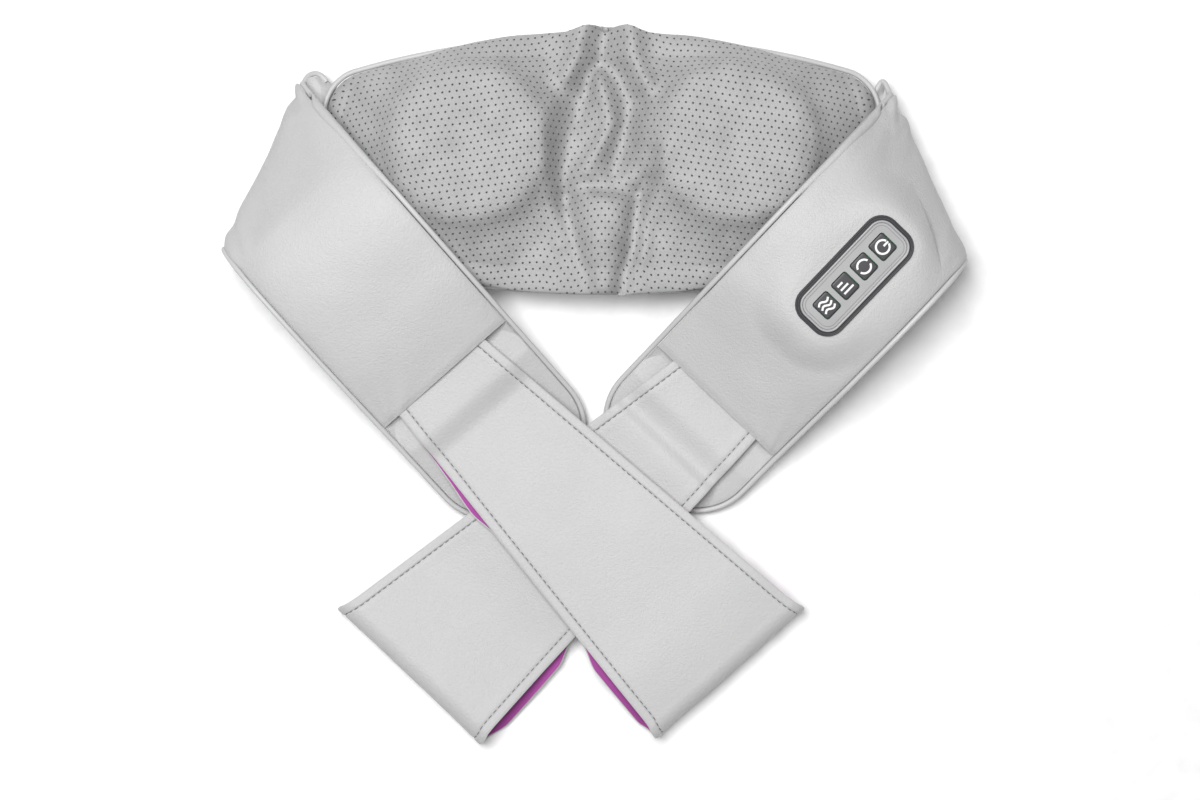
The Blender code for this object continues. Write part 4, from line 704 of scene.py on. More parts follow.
@dataclass
class MeshFront:
    """Stretched mesh over the heads, gathered in the middle."""

    form: BodyForm
    rows: int = 300
    columns: int = 150
    thickness: float = 1.0
    creases: tuple = (
        (-11.0, 9.0, ((-8, 74), (-12, 60), (-16, 46), (-25, 20), (-29, -4), (-27, -25))),
        (-6.0, 6.0, ((-27, -25), (-23, -44), (-19, -57), (-16, -72), (-9, -85), (0, -93))),
        (-10.5, 8.0, ((4, 70), (14, 60), (20, 44), (18, 28), (14, 10), (9, -8))),
        (-8.5, 6.0, ((-14, -15), (1, -19), (14, -21), (25, -22))),
        (-11.0, 6.0, ((32, -14), (27, -25), (25, -39), (22, -53), (19, -72), (11, -88), (1, -94))),
        (-5.5, 4.5, ((4, 95), (2, 84), (-6, 66), (-11, 50))),
    )
    ridges: tuple = (
        (9.0, 7.5, ((-4, 60), (3, 45), (7, 28), (1, 13), (-8, 1), (-16, -12))),
        (15.0, 8.5, ((-9, 94), (-14, 80), (-24, 62))),
        (15.0, 9.0, ((15, 93), (22, 78), (31, 58))),
        (4.0, 6.0, ((31, 58), (36, 40), (32, 20), (28, 4))),
        (3.5, 6.0, ((-36, 40), (-42, 18), (-41, -10), (-36, -32), (-31, -60))),
        (3.5, 6.0, ((45, 5), (39, -22), (34, -45), (30, -68))),
    )
    pouch: tuple[float, float, float, float] = (1.0, -38.0, 23.0, 17.0)
    slant: float = 0.14

    def gathers(self, x: Grid, y: Grid, across: Grid) -> Grid:
        """Height that the folds in the middle add."""
        warp_x = x + 1.6 * ripple(x, y, 24.0, 3.1)
        warp_y = y + 1.6 * ripple(x, y, 24.0, 8.7)
        height = np.zeros(x.shape)
        for size, width, path in self.creases + self.ridges:
            height += size * np.exp(-(distance_to(warp_x, warp_y, path) / width) ** 2)
        cx, cy, radius, rise = self.pouch
        reach = np.hypot((x - cx) / radius, (y - cy) / (radius * 1.15))
        height += rise * np.exp(-reach ** 2.6)
        tail = np.exp(-((x - cx) / 15.0) ** 2) * ease(-40, -60, y)
        height += 9.0 * tail
        fade = np.clip((1.0 - np.abs(across)) / 0.05, 0.25, 1.0)
        return height * fade

    def nodes_under(self, x: Grid, y: Grid) -> Grid:
        """Soft rises over the massage nodes and dips between them."""
        height = np.zeros(x.shape)
        for side in ("left", "right"):
            for end in ("outer", "inner"):
                low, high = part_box(f"{side}_{end}_node")
                cx = (low.x + high.x) / 2 * METRE - self.form.centre[0]
                cy = (low.y + high.y) / 2 * METRE - self.form.centre[1]
                height += 4.6 * np.exp(-(np.hypot(x - cx, y - cy) / 15.0) ** 2)
            middle = math.copysign(self.form.head_x, -1 if side == "left" else 1)
            height -= 6.0 * np.exp(-(np.hypot(x - middle, y - self.form.head_y) / 15.0) ** 2)
            height += 2.4 * np.exp(-(np.hypot(x - middle, y - self.form.head_y - 55) / 13.0) ** 2)
        return height

    def pulls(self, x: Grid, y: Grid) -> Grid:
        """Fine tension lines that run from the heads to the gathers and the edges."""
        side = np.abs(x) - self.form.head_x
        turn = np.arctan2(y - self.form.head_y, side)
        reach = np.hypot(side, y - self.form.head_y)
        lines = np.sin(turn * 17 + 2.5 * ripple(x, y, 40.0, 5.0))
        return 0.55 * lines * ease(48, 66, reach) * ease(110, 80, reach)

    def build(self) -> None:
        """Make the front and hang it on the root."""
        form = self.form
        x, y, across, along = form.lattice(self.rows, self.columns, form.inset)
        z = form.cover(x, y, across, along)
        z += (self.gathers(x, y, across) + self.nodes_under(x, y)) * ease(0, 0.06, 1 - np.abs(across))
        z += self.pulls(x, y) * ease(0, 0.08, 1 - np.abs(across)) + 0.3 * ripple(x, y, 14.0, 1.0)
        swell = np.maximum(np.sin(np.pi * np.clip((np.abs(across) - 0.86) / 0.14, 0, 1)), 0.0) ** 0.6
        spread = Curve((0, 10.5), (55, 9.5), (110, 4.0), (150, 0.0), (205, 0.0))(np.abs(x))
        lumps = 3.0 * (np.exp(-((x + 8) / 12) ** 2) + np.exp(-((x - 17) / 12) ** 2)) * (across > 0)
        y = y + np.sign(across) * swell * (spread + lumps)
        z = z + 6.0 * np.exp(-((np.abs(across) - 0.97) / 0.03) ** 2) * (lumps > 0.5) * 0.5
        grid = np.stack((x + form.centre[0], y + form.centre[1], z), -1)
        steps = np.linalg.norm(np.diff(grid, axis=1), axis=2)
        runs = np.linalg.norm(np.diff(grid, axis=0), axis=2)
        over = np.concatenate((np.zeros((len(grid), 1)), np.cumsum(steps, 1)), 1)
        down = np.concatenate((np.zeros((1, grid.shape[1])), np.cumsum(runs, 0)), 0)
        over -= over[:, [self.columns // 2]]
        down -= down[[self.rows // 2], :]
        lay = np.stack((mix(x, down, 0.2), mix(y, over, 0.35) + self.slant * np.abs(x), np.zeros(x.shape)), -1)
        pieces = Pieces()
        pieces.skin(grid, grid - normals(grid) * self.thickness)
        front = pieces.build("mesh_front", MESH, lay=np.concatenate((lay.reshape(-1, 3),) * 2), sharp=80)
        report(front, "root", "mesh_fabric", "mesh_cover")


@dataclass
class LeatherBack:
    """Leather back, flat where the massager lies, with piping round its seam."""

    form: BodyForm
    rows: int = 150
    columns: int = 80
    thickness: float = 1.5
    piping: float = 2.0
    eyelet: float = 6.6

    def build(self) -> None:
        """Make the back, its piping and the eyelet round the inlet."""
        form = self.form
        x, y, across, along = form.lattice(self.rows, self.columns, form.inset)
        z = form.back(x, across, along)
        out = np.abs(across)
        puckers = 0.35 * np.sin(x / 3.1) * ease(0.86, 0.96, out) * (1 - ease(0.97, 1.0, out))
        z += puckers + 0.25 * (1 + ripple(x, y, 40.0, 2.0)) * ease(0.72, 0.9, np.abs(across))
        grid = np.stack((x + form.centre[0], y + form.centre[1], z), -1)
        low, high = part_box("dc_jack")
        hole = np.array(((low.x + high.x) / 2, low.y, (low.z + high.z) / 2)) * METRE
        middle = (grid[1:, 1:] + grid[:-1, :-1]) / 2
        near = np.hypot(middle[..., 0] - hole[0], middle[..., 2] - hole[2])
        keep = (near > self.eyelet) | (middle[..., 1] > form.centre[1])
        pieces = Pieces()
        pieces.skin(grid[::-1], (grid + normals(grid) * self.thickness)[::-1], keep[::-1])
        back = pieces.build("leather_back", LEATHER, sharp=80)
        report(back, "root", "leather", "back_cover")
        at = min(((abs(p[0] - hole[0]) + abs(p[2] - hole[2]), p[1]) for p in grid.reshape(-1, 3)
                  if p[1] < form.centre[1]))[1]
        self.ring_round(hole, at)
        self.outline()

    def ring_round(self, hole: Grid, y: float) -> None:
        """Moulded eyelet round the inlet."""
        turn = np.linspace(0, 2 * np.pi, 33)[:-1]
        path = np.stack((hole[0] + self.eyelet * np.cos(turn), np.full(32, y) - 0.4,
                         hole[2] + self.eyelet * np.sin(turn)), -1)
        loops = []
        for k in range(10):
            roll = 2 * math.pi * k / 10
            size = self.eyelet + 1.5 * math.cos(roll)
            loops.append([(hole[0] + size * math.cos(a), p[1] + 1.3 * math.sin(roll), hole[2] + size * math.sin(a))
                          for a, p in zip(turn, path)])
        pieces = Pieces()
        pieces.rings(loops, cap=False)
        report(pieces.build("inlet_eyelet", CadFinish.of("housing_plastic")), "root", "housing_plastic")

    def outline(self) -> None:
        """Piping along the seam."""
        form = self.form
        side = (form.length / 2) * np.sin(np.linspace(-1, 1, 181) * np.pi / 2)
        x = np.concatenate((side, side[::-1][1:-1]))
        y = np.concatenate((form.half_width(side), -form.half_width(side[::-1][1:-1])))
        path = np.stack((x + form.centre[0], y + form.centre[1], form.seam(x)), -1)
        pieces = Pieces()
        pieces.tube(path, self.piping, 12, closed=True)
        report(pieces.build("seam_piping", PIPING), "root", "leather", "body_piping")


# ---------------------------------------------------------------- wings
@dataclass(frozen=True)
class WingForm:
    """Where one wing folds, how it runs and how its loop lies."""

    name: str
    side: int
    reach: float
    drop: float
    angle: float
    cuff: float
    lie: tuple
    roll: float
    root_offset: float
    end_offset: float
    lift: float
    slip: tuple
    centre: tuple[float, float]
    band: float = 127.0
    length_of_body: float = 410.0
    middle_x: float = -5.0
    full: float = 8.0
    tip_full: float = 3.2
    tip_round: float = 47.0
    tip_clear: float = 6.0
    skin: float = 1.2
    seam: float = 0.5
    inset: float = 4.4
    piping: float = 2.0

    def along(self) -> Grid:
        """Plan direction from the fold to the tip."""
        return np.array((-self.side * math.cos(self.angle), -math.sin(self.angle)))

    def across(self) -> Grid:
        """Plan direction to the inner edge."""
        return np.array((-self.side * math.sin(self.angle), math.cos(self.angle)))

    def fold(self) -> Grid:
        """Plan place of the fold line's middle."""
        return np.array((self.centre[0] + self.side * (self.length_of_body / 2 + self.reach),
                         self.centre[1] - self.drop))

    def point(self, a: Grid, t: Grid, z: Grid) -> Grid:
        """Points at distances along and across the wing."""
        a, t, z = np.broadcast_arrays(a, t, z)
        plan = self.fold() + a[..., None] * self.along() + t[..., None] * self.across()
        return np.concatenate((plan, z[..., None]), -1)

    def fold_at(self, t: Grid) -> Grid:
        """Distance of the fold line from its middle."""
        return -t * math.tan(self.angle / 2)

    def length(self) -> float:
        """Length to the tip."""
        start = self.fold() + self.across() * (self.band / 2 - self.tip_round)
        run = -self.side * self.along()[0]
        middle = self.centre[0] + self.middle_x
        return (self.side * (start[0] - middle) - self.tip_round - self.tip_clear) / run + self.tip_round

    def height(self, a: Grid, t: Grid) -> Grid:
        """Height of the wing's middle surface."""
        fold = self.band / 2 * math.tan(self.angle / 2)
        end = self.length()
        inner = Curve((-fold, 30), (0, 58), (40, 77), (90, 87), (150, 72), (end - 114, 47), (end - 39, 16),
                      (end, 5.5))(a)
        outer = Curve((0, 18), (fold, 44), (50, 66), (75, 72), (100, 70), (150, 56), (end - 114, 36),
                      (end - 39, 12), (end, 5.5))(a)
        rise = self.lift * Curve((0, 0), (40, 1), (150, 1), (end - 80, 0))(a)
        return mix(outer, inner, t / self.band + 0.5) + rise

    def half_full(self, a: Grid) -> Grid:
        """Half the padding at the middle of the width."""
        end = self.length()
        return Curve((0, self.full), (self.cuff, self.full - 1), (end - 50, self.tip_full),
                     (end, self.tip_full))(a)

    def edge(self, a: Grid, inset: float) -> Grid:
        """Half the panel's width, rounded off at the tip."""
        half = self.band / 2 - inset
        corner = self.tip_round - inset
        run = np.clip(a - (self.length() - self.tip_round), 0, corner)
        return half - corner + np.sqrt(corner ** 2 - run ** 2)

    def start(self, t: Grid) -> Grid:
        """Distance along the wing at which its panels begin."""
        share = 0.5 - t / self.band
        radius = mix(14.0, 28.0, share)
        turn = np.radians(mix(50.0, 75.0, share))
        reach = radius + 4.0 - radius * np.cos(turn)
        return self.fold_at(t) + reach / math.cos(self.angle / 2)

    def pillow(self, t: Grid) -> Grid:
        """Fullness of the padding over half its width."""
        share = np.minimum(np.abs(t) / (self.band / 2 - self.inset), 1.0)
        return (1.0 - share ** 2.5) ** 0.6

    def top(self, a: Grid, t: Grid) -> Grid:
        """Height of the outer face."""
        return self.height(a, t) + self.seam + self.skin + self.half_full(a) * self.pillow(t)

    def bottom(self, a: Grid, t: Grid) -> Grid:
        """Height of the inner face."""
        return self.height(a, t) - self.seam - self.half_full(a) * self.pillow(t) - self.skin


@dataclass
class ShawlWing:
    """One padded wing: its folded band, panels, pocket and piping."""

    form: WingForm
    window: Matrix | None = None
    window_corner: float = 14.0
    cell: float = 2.0
    fold_seam: float = 4.0
    pocket_depth: float = 40.0
    rolled: float = 92.0
    bulge: float = 10.0
    seed: float = 1.0

    def body(self) -> str:
        """Body that the wing rides on."""
        return f"{self.form.name}_wing"

    def begin(self, t: Grid) -> Grid:
        """Distance along the wing at which the visible panels begin."""
        return self.form.start(t) + self.fold_seam

    def wrinkle(self, a: Grid, t: Grid) -> Grid:
        """Height of the leather's slow waves, tension folds and puckers."""
        half = self.form.band / 2 - self.form.inset
        inner = half - np.abs(t)
        begun = ease(0, 22, a - self.form.start(t))
        waves = 0.8 * ripple(a, t, 55.0, self.seed) + 0.35 * ripple(a, t, 21.0, self.seed + 4)
        corner = np.hypot(a - self.form.start(half), t - half)
        pull = np.arctan2(t - half, a - self.form.start(half) + 30)
        folds = 1.6 * np.sin(pull * 15 + ripple(a, t, 60.0, self.seed) * 2) * np.exp(-corner / 42)
        outer = np.hypot(a - self.form.cuff, t + half)
        folds += 1.1 * np.sin(np.arctan2(t + half, a - self.form.cuff - 12) * 12) * np.exp(-outer / 28)
        puckers = 0.3 * np.sin(a / 2.1 + 2 * ripple(a, t, 30.0, self.seed)) * np.exp(-inner / 5)
        return (waves + folds + puckers) * begun * ease(0, 10, inner)

    def sheet_of(self, end: float, inset: float) -> tuple[Grid, Grid]:
        """Grid of distances along and across a stretch of the wing."""
        rows = int(end / self.cell) + 8
        over = np.sin(np.linspace(-1, 1, 65) * np.pi / 2)
        share, v = np.meshgrid(np.linspace(0, 1, rows), over, indexing="ij")
        half = self.form.edge(mix(0.0, end, share), inset)
        a = mix(self.begin(v * half), end, share)
        return a, v * self.form.edge(a, inset)

    def press(self, grid: Grid) -> tuple[Grid, Grid | None]:
        """Press the leather flat round the key panel and open it under the bezel."""
        if self.window is None:
            return grid, None
        back = np.array(self.window.inverted())
        local = grid * MM @ back[:3, :3].T + back[:3, 3]
        local *= METRE
        over = np.abs(local[..., 0]) - (48.0 - self.window_corner)
        beside = np.abs(local[..., 1]) - (20.5 - self.window_corner)
        outer = np.hypot(np.maximum(over, 0.0), np.maximum(beside, 0.0))
        off = outer + np.minimum(np.maximum(over, beside), 0.0) - self.window_corner
        near = 1 - ease(-1.0, 30.0, off)
        local[..., 2] = mix(local[..., 2], -0.6, near)
        dent = -0.5 * np.exp(-((off - 1.5) / 2.6) ** 2)
        local[..., 2] += dent
        forward = np.array(self.window)
        grid = (local * MM @ forward[:3, :3].T + forward[:3, 3]) * METRE
        keep = (off < -3.0)
        inside = keep[1:, 1:] & keep[:-1, :-1] & keep[1:, :-1] & keep[:-1, 1:]
        return grid, ~inside

    def panels(self) -> None:
        """Outer panel up to the cuff, inner panel and the pocket panel with the wing's tip."""
        form = self.form
        a, t = self.sheet_of(form.cuff, form.inset)
        droop = -1.2 * ease(form.cuff - 4, form.cuff, a)
        grid = form.point(a, t, form.top(a, t) + self.wrinkle(a, t) + droop)
        grid, keep = self.press(grid)
        face = normals(grid)
        face *= np.sign(face[..., 2].mean())
        outer = Pieces()
        outer.skin(grid, grid - face * 1.6, keep)
        piece = outer.build(f"{form.name}_outer_panel", LEATHER, sharp=80)
        report(piece, self.body(), "leather", f"{form.name}_wing_outer")

        end = form.length() - form.inset
        a, t = self.sheet_of(end, form.inset)
        soft = 0.6 * ripple(a, t, 45.0, self.seed + 9) * ease(0, 15, a - self.begin(t))
        grid = form.point(a, t, form.bottom(a, t) + np.maximum(soft, -0.2))
        inner = Pieces()
        inner.skin(grid[::-1], (grid + (0, 0, form.skin))[::-1])
        piece = inner.build(f"{form.name}_inner_panel", LEATHER, sharp=80)
        report(piece, self.body(), "leather", f"{form.name}_wing_inner")
        self.pocket(end)

    def pocket(self, end: float) -> None:
        """Panel that lies under the loop and shows as the wing's rounded tip."""
        form = self.form
        half = form.band / 2 - form.inset
        steps = np.linspace(form.cuff - self.pocket_depth, end, 90)
        a, v = np.meshgrid(steps, np.sin(np.linspace(-1, 1, 61) * np.pi / 2), indexing="ij")
        width = mix(half - 21.0, form.edge(a, form.inset), Curve((form.cuff - 12, 0.0), (form.cuff - 2, 1.0))(a))
        t = v * width
        under = form.height(a, t) - 3.3
        tip = form.height(a, t) + form.seam + form.skin + form.tip_full * (1 - np.abs(v) ** 2.5) ** 0.6
        z = mix(under, tip, Curve((form.cuff + 4, 0.0), (form.cuff + 26, 1.0))(a))
        z = z + 0.35 * ripple(a, t, 16.0, self.seed + 2) * (1 - np.abs(v)) ** 0.3
        grid = form.point(a, t, z)
        pieces = Pieces()
        pieces.skin(grid, grid - (0, 0, form.skin))
        piece = pieces.build(f"{form.name}_pocket_leather", LEATHER, sharp=80)
        report(piece, self.body(), "leather", f"{form.name}_pocket_panel")

    def piping_path(self) -> tuple[Grid, Grid]:
        """Line of the piping round the wing, as distances along and across."""
        form = self.form
        side = form.band / 2 - form.piping
        corner = form.length() - form.tip_round
        radius = form.tip_round - form.piping
        flat = side - radius
        turn = np.linspace(0, np.pi / 2, 24)
        first = np.linspace(form.start(side) + self.fold_seam, corner, 70)[:-1]
        last = np.linspace(corner, form.start(-side) + self.fold_seam, 70)[1:]
        a = np.concatenate((first, corner + radius * np.sin(turn), corner + radius * np.cos(turn[1:]), last))
        t = np.concatenate((np.full(69, side), flat + radius * np.cos(turn), -flat - radius * np.sin(turn[1:]),
                            np.full(69, -side)))
        return a, t

    def trim(self) -> None:
        """Piping round the wing's long edges and tip."""
        a, t = self.piping_path()
        inner_start = a[0] + self.rolled
        piped = (t < 0) | (a > inner_start) | (np.arange(len(a)) > 69)
        pieces = Pieces()
        line = self.form.point(a[piped], t[piped], self.form.height(a[piped], t[piped]))
        pieces.tube(line, self.form.piping, 12)
        self.roll_over(a[0], inner_start + 6.0)
        piece = pieces.build(f"{self.form.name}_edge_piping", PIPING)
        report(piece, self.body(), "leather", f"{self.form.name}_wing_piping")

    def roll_over(self, begin: float, end: float) -> None:
        """Leather rolled over the inner edge near the fold, where there is no piping.

        Args:
            begin: distance along the wing at which it begins.
            end: distance at which the piping takes over.
        """
        form = self.form
        a = np.linspace(begin, end, 60)
        share = (a - begin) / (end - begin)
        radius = mix(3.9, form.piping, share ** 2) + 0.3 * np.sin(a / 6.5) * (1 - share)
        radius = mix(0.9, radius, ease(0.0, 0.12, share))
        t = np.full(60, form.band / 2) - radius - 0.1
        pieces = Pieces()
        pieces.tube(form.point(a, t, form.height(a, t)), radius, 14)
        report(pieces.build(f"{form.name}_rolled_edge", LEATHER, sharp=80), self.body(), "leather")

    def curl(self, t: Grid, u: Grid, outside: bool) -> Grid:
        """Face of the band that goes from the body's end round the fold to the wing.

        Args:
            t: distance across the band.
            u: share of the way, from 0 at the body to 2 at the wing, with 1 on the fold.
            outside: the leather's outer face, or else the face inside the fold.

        Returns:
            Points of the face.
        """
        form = self.form
        share = 0.5 - t / form.band
        radius = mix(14.0, 28.0, share)
        fold = form.point(form.fold_at(t), t, 15.0 + radius)
        end_x = form.centre[0] + form.side * form.length_of_body / 2
        seam_z = 25.0
        arrive = form.start(t) + self.fold_seam
        edge = form.top if outside else form.bottom
        rise = (edge(arrive + 2.0, t) - edge(arrive, t)) / 2.0
        end = form.point(arrive, t, edge(arrive, t))
        run = np.broadcast_to(np.array((*form.along(), 0.0)), end.shape).copy()
        run[..., 2] = rise
        outward = np.array((form.side, 0.0, 0.0))
        bulk = mix(3.4, 9.0, form.pillow(t))
        if outside:
            begin = np.stack((np.broadcast_to(end_x - form.side * 10.0, t.shape), fold[..., 1],
                              np.broadcast_to(seam_z - 13.5, t.shape)), -1)
        else:
            begin = np.stack((np.broadcast_to(end_x + form.side * 2.8, t.shape), fold[..., 1],
                              np.broadcast_to(seam_z - 1.5, t.shape)), -1)
            out = np.array((form.side, 0.0)) - form.along()
            out /= np.linalg.norm(out)
            fold = fold.copy()
            fold[..., :2] -= out * bulk[..., None]
        up = np.array((0.0, 0.0, 1.0))
        first = self.hermite(begin, fold, outward, up, np.clip(u, 0, 1))
        second = self.hermite(fold, end, up, run, np.clip(u - 1, 0, 1))
        return np.where((u <= 1)[..., None], first, second)

    @staticmethod
    def hermite(begin: Grid, end: Grid, leave: Grid, arrive: Grid, s: Grid) -> Grid:
        """Cubic from one point to another with given directions at both ends."""
        far = np.linalg.norm(end - begin, axis=-1, keepdims=True) * 1.05
        s = s[..., None]
        return ((2 * s ** 3 - 3 * s ** 2 + 1) * begin + (s ** 3 - 2 * s ** 2 + s) * far * leave
                + (3 * s ** 2 - 2 * s ** 3) * end + (s ** 3 - s ** 2) * far * arrive)

    def crumple(self, t: Grid, u: Grid) -> Grid:
        """Depth of the folds that bunch up where the band turns."""
        half = self.form.band / 2
        top = ease(half - 46, half - 6, t)
        low = ease(-half + 40, -half + 8, t)
        calm = ease(0, 0.35, u) * ease(2.0, 1.55, u)
        lines = np.sin(t / 3.6 + 3.0 * u + 1.5 * ripple(t, u * 30, 22.0, self.seed))
        return calm * (2.6 * top * lines + 1.1 * low * lines + 1.3 * ripple(t, u * 26, 19.0, self.seed + 6))

    def bunch(self, t: Grid, u: Grid) -> Grid:
        """Shift of the band's top edge, where the leather bunches beside the body."""
        half = self.form.band / 2
        share = ease(half - 34, half, t) * np.maximum(np.sin(np.pi * np.clip(u / 0.95, 0, 1)), 0.0) ** 1.5
        waves = 1.0 + 0.15 * np.sin(6.5 * u + self.seed)
        shift = np.zeros((*t.shape, 3))
        shift[..., 1] = self.bulge * share * waves
        return shift

    def gusset(self) -> None:
        """Folded band, as one closed padded piece."""
        form = self.form
        half = form.band / 2 - form.inset
        u, v = np.meshgrid(np.linspace(0, 2, 73), np.sin(np.linspace(-1, 1, 65) * np.pi / 2), indexing="ij")
        t = v * half
        outside = self.curl(t, u, True) + self.bunch(t, u)
        face = normals(outside)
        inside = self.curl(t, u, False) + self.bunch(t, u)
        face *= np.sign(((outside - inside) * face).sum(-1).mean())
        outside = outside + face * self.crumple(t, u)[..., None]
        pieces = Pieces()
        pieces.skin(outside, inside)
        piece = pieces.build(f"{form.name}_fold_band", LEATHER, sharp=80)
        trim = Pieces()
        for edge in (-1, 1):
            side = np.full(60, edge * (form.band / 2 - form.piping))
            way = np.linspace(0.12, 2, 60)
            line = (self.curl(side, way, True) + self.curl(side, way, False)) / 2 + self.bunch(side, way)
            trim.tube(line, form.piping, 12)
        piping = trim.build(f"{form.name}_fold_piping", PIPING)
        ends = [self.curl(np.array([s * half]), np.array([w]), True)[0] * MM for w in (0.0, 2.0) for s in (-1, 1)]
        middle = self.curl(np.array([0.0]), np.array([1.0]), True)[0] * MM
        for one, nodes in ((piece, (f"{form.name}_fold_gusset",)), (piping, ())):
            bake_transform(one)
            if nodes:
                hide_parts(*nodes)
            LOG.info("%s: %d vertices, bends at the fold", one.name, len(one.data.vertices))

    def build(self) -> None:
        """Make the whole wing."""
        self.panels()
        self.trim()
        self.gusset()


# ---------------------------------------------------------------- hand loops
@dataclass
class HandLoop:
    """Leather strip bent back on itself, with a stitched hem and a lining."""

    form: WingForm
    reach: float = 305.0
    root_width: float = 84.0
    end_width: float = 143.0
    leather: float = 1.5
    lining: float = 0.9
    pressed: float = 6.4
    hem: float = 7.0
    dash: float = 3.3
    pause: float = 1.9
    stations: int = 150
    flare: float = 2.0
    seed: float = 1.0

    def body(self) -> str:
        """Body that the loop rides on."""
        return f"{self.form.name}_hand_loop"

    def profile(self) -> tuple[Grid, Grid, Grid]:
        """Side view: distance, height, and 1 on the lower run, from one root round to the other."""
        form = self.form
        root = form.cuff - 34.0
        tip_top = form.tip_full + form.seam + form.skin + self.pressed / 2 + 1.2
        points = [(a, float(form.height(a, 0.0)) + 0.4) for a in (root, form.cuff - 8)]
        points.append((form.cuff + 2, float(form.height(form.cuff + 2, 0.0)) + 1.0))
        points += [(a, float(form.height(a, 0.0)) + tip_top) for a in (form.cuff + 24, form.cuff + 45)]
        points += [(form.length() + run, z) for run, z in form.lie]
        middle = Curve(*points)
        end = form.cuff + self.reach - form.roll
        a = np.linspace(root, end, self.stations)
        opening = Curve((form.cuff + 60, self.pressed / 2), (form.cuff + self.reach - 90, self.pressed / 2 + 2.0),
                        (end, form.roll))(a)
        turn = np.linspace(np.pi / 2, -np.pi / 2, 25)[1:-1]
        bend_a = end + form.roll * np.cos(turn)
        bend_z = middle(end) + form.roll * np.sin(turn)
        low = np.concatenate((np.zeros(len(a)), np.linspace(0, 1, len(turn)), np.ones(len(a))))
        return (np.concatenate((a, bend_a, a[::-1])),
                np.concatenate((middle(a) + opening, bend_z, (middle(a) - opening)[::-1])), low)

    def hem_places(self) -> Grid:
        """Distances from one edge, close together at the hem, as a share beyond it."""
        return np.array((0.0, 0.5, 1.2, 2.4, 4.0, 5.5, 6.3, 6.7, 7.0, 7.3, 7.8, 9.0, 11.0, 14.0))

    def strip(self, inset: float) -> tuple[Grid, Grid]:
        """Points of the leather's outer face and the distance of each from its nearer edge."""
        form = self.form
        a, z, low = self.profile()
        share = np.maximum((a - form.cuff) / self.reach, -0.05)
        half = mix(self.root_width, self.end_width, share) / 2 - inset
        half = half + self.flare * np.exp(-((a.max() - a) / 9.0) ** 2)
        near = self.hem_places()
        rows = []
        gaps = []
        for h in half:
            core = np.linspace(-(h - near[-1]), h - near[-1], 30)[1:-1]
            t = np.concatenate((-(h - near), core, (h - near)[::-1]))
            rows.append(t)
            gaps.append(h - np.abs(t))
        t = np.array(rows)
        gap = np.array(gaps)
        slip = Curve(*form.slip)(a - form.cuff)[:, None] * low[:, None]
        place = mix(form.root_offset, form.end_offset, (a - form.cuff) / self.reach)[:, None] + t
        tilt = (form.height(a, 1.0) - form.height(a, -1.0)) / 2
        tilt = tilt * Curve((form.cuff + 30, 1.0), (form.length() + 10, 0.0))(a)
        grid = form.point(a[:, None], place - slip, z[:, None] + tilt[:, None] * place)
        return grid, gap

    def facing(self, grid: Grid) -> Grid:
        """Normals that point out of the loop."""
        face = normals(grid)
        return face if face[10, :, 2].mean() > 0 else -face

    def puff(self, grid: Grid, gap: Grid) -> Grid:
        """Height of the hem, its groove and the leather's waves."""
        hem = 0.75 * (1 - ease(6.2, 7.0, gap)) * ease(-0.3, 1.4, gap)
        groove = -0.55 * np.exp(-((gap - self.hem) / 0.55) ** 2)
        beside = 0.25 * np.exp(-((gap - 10.5) / 2.5) ** 2)
        waves = 0.75 * ripple(grid[..., 0], grid[..., 1], 52.0, self.seed)
        waves += 0.25 * ripple(grid[..., 0], grid[..., 1], 17.0, self.seed + 3)
        return hem + groove + beside + waves * ease(4, 16, gap)

    def stitches(self, face: Grid, gap: Grid, grid: Grid) -> None:
        """Dashes of thread in the groove along both edges."""
        thread = Pieces()
        nearest = int(np.argmin(np.abs(gap[0, :14] - self.hem)))
        for column in (nearest, -1 - nearest):
            line = grid[:, column] + face[:, column] * 0.15
            run = np.concatenate(([0.0], np.cumsum(np.linalg.norm(np.diff(line, axis=0), axis=1))))
            at = 38.0
            while at + self.dash < run[-1] - 38.0:
                spots = np.linspace(at, at + self.dash, 5)
                path = np.stack([np.interp(spots, run, line[:, k]) for k in range(3)], -1)
                thread.tube(path, np.array((0.18, 0.42, 0.48, 0.42, 0.18)), 6)
                at += self.dash + self.pause
        piece = thread.build(f"{self.form.name}_loop_stitches", THREAD)
        report(piece, self.body(), "leather")

    def build(self) -> None:
        """Make the leather, the lining and the stitches."""
        form = self.form
        flat, gap = self.strip(0.0)
        face = self.facing(flat)
        grid = flat + face * self.puff(flat, gap)[..., None]
        leather = Pieces()
        leather.skin(grid, flat - face * self.leather)
        strip = leather.build(f"{form.name}_loop_leather", LEATHER, sharp=60)
        report(strip, self.body(), "leather", f"{form.name}_loop")
        within, _ = self.strip(0.8)
        out = self.facing(within)
        lining = Pieces()
        lining.skin(within - out * (self.leather + GAP / 2), within - out * (self.leather + GAP / 2 + self.lining))
        inner = lining.build(f"{form.name}_loop_velour", LINING, sharp=60)
        report(inner, self.body(), "lining", f"{form.name}_loop_lining")
        self.stitches(self.facing(grid), gap, grid)


# ---------------------------------------------------------------- key panel
class Symbol(Enum):
    """Symbol of each key, power first."""

    POWER = "power"
    DIRECTION = "direction"
    INTENSITY = "intensity"
    HEAT = "heat"


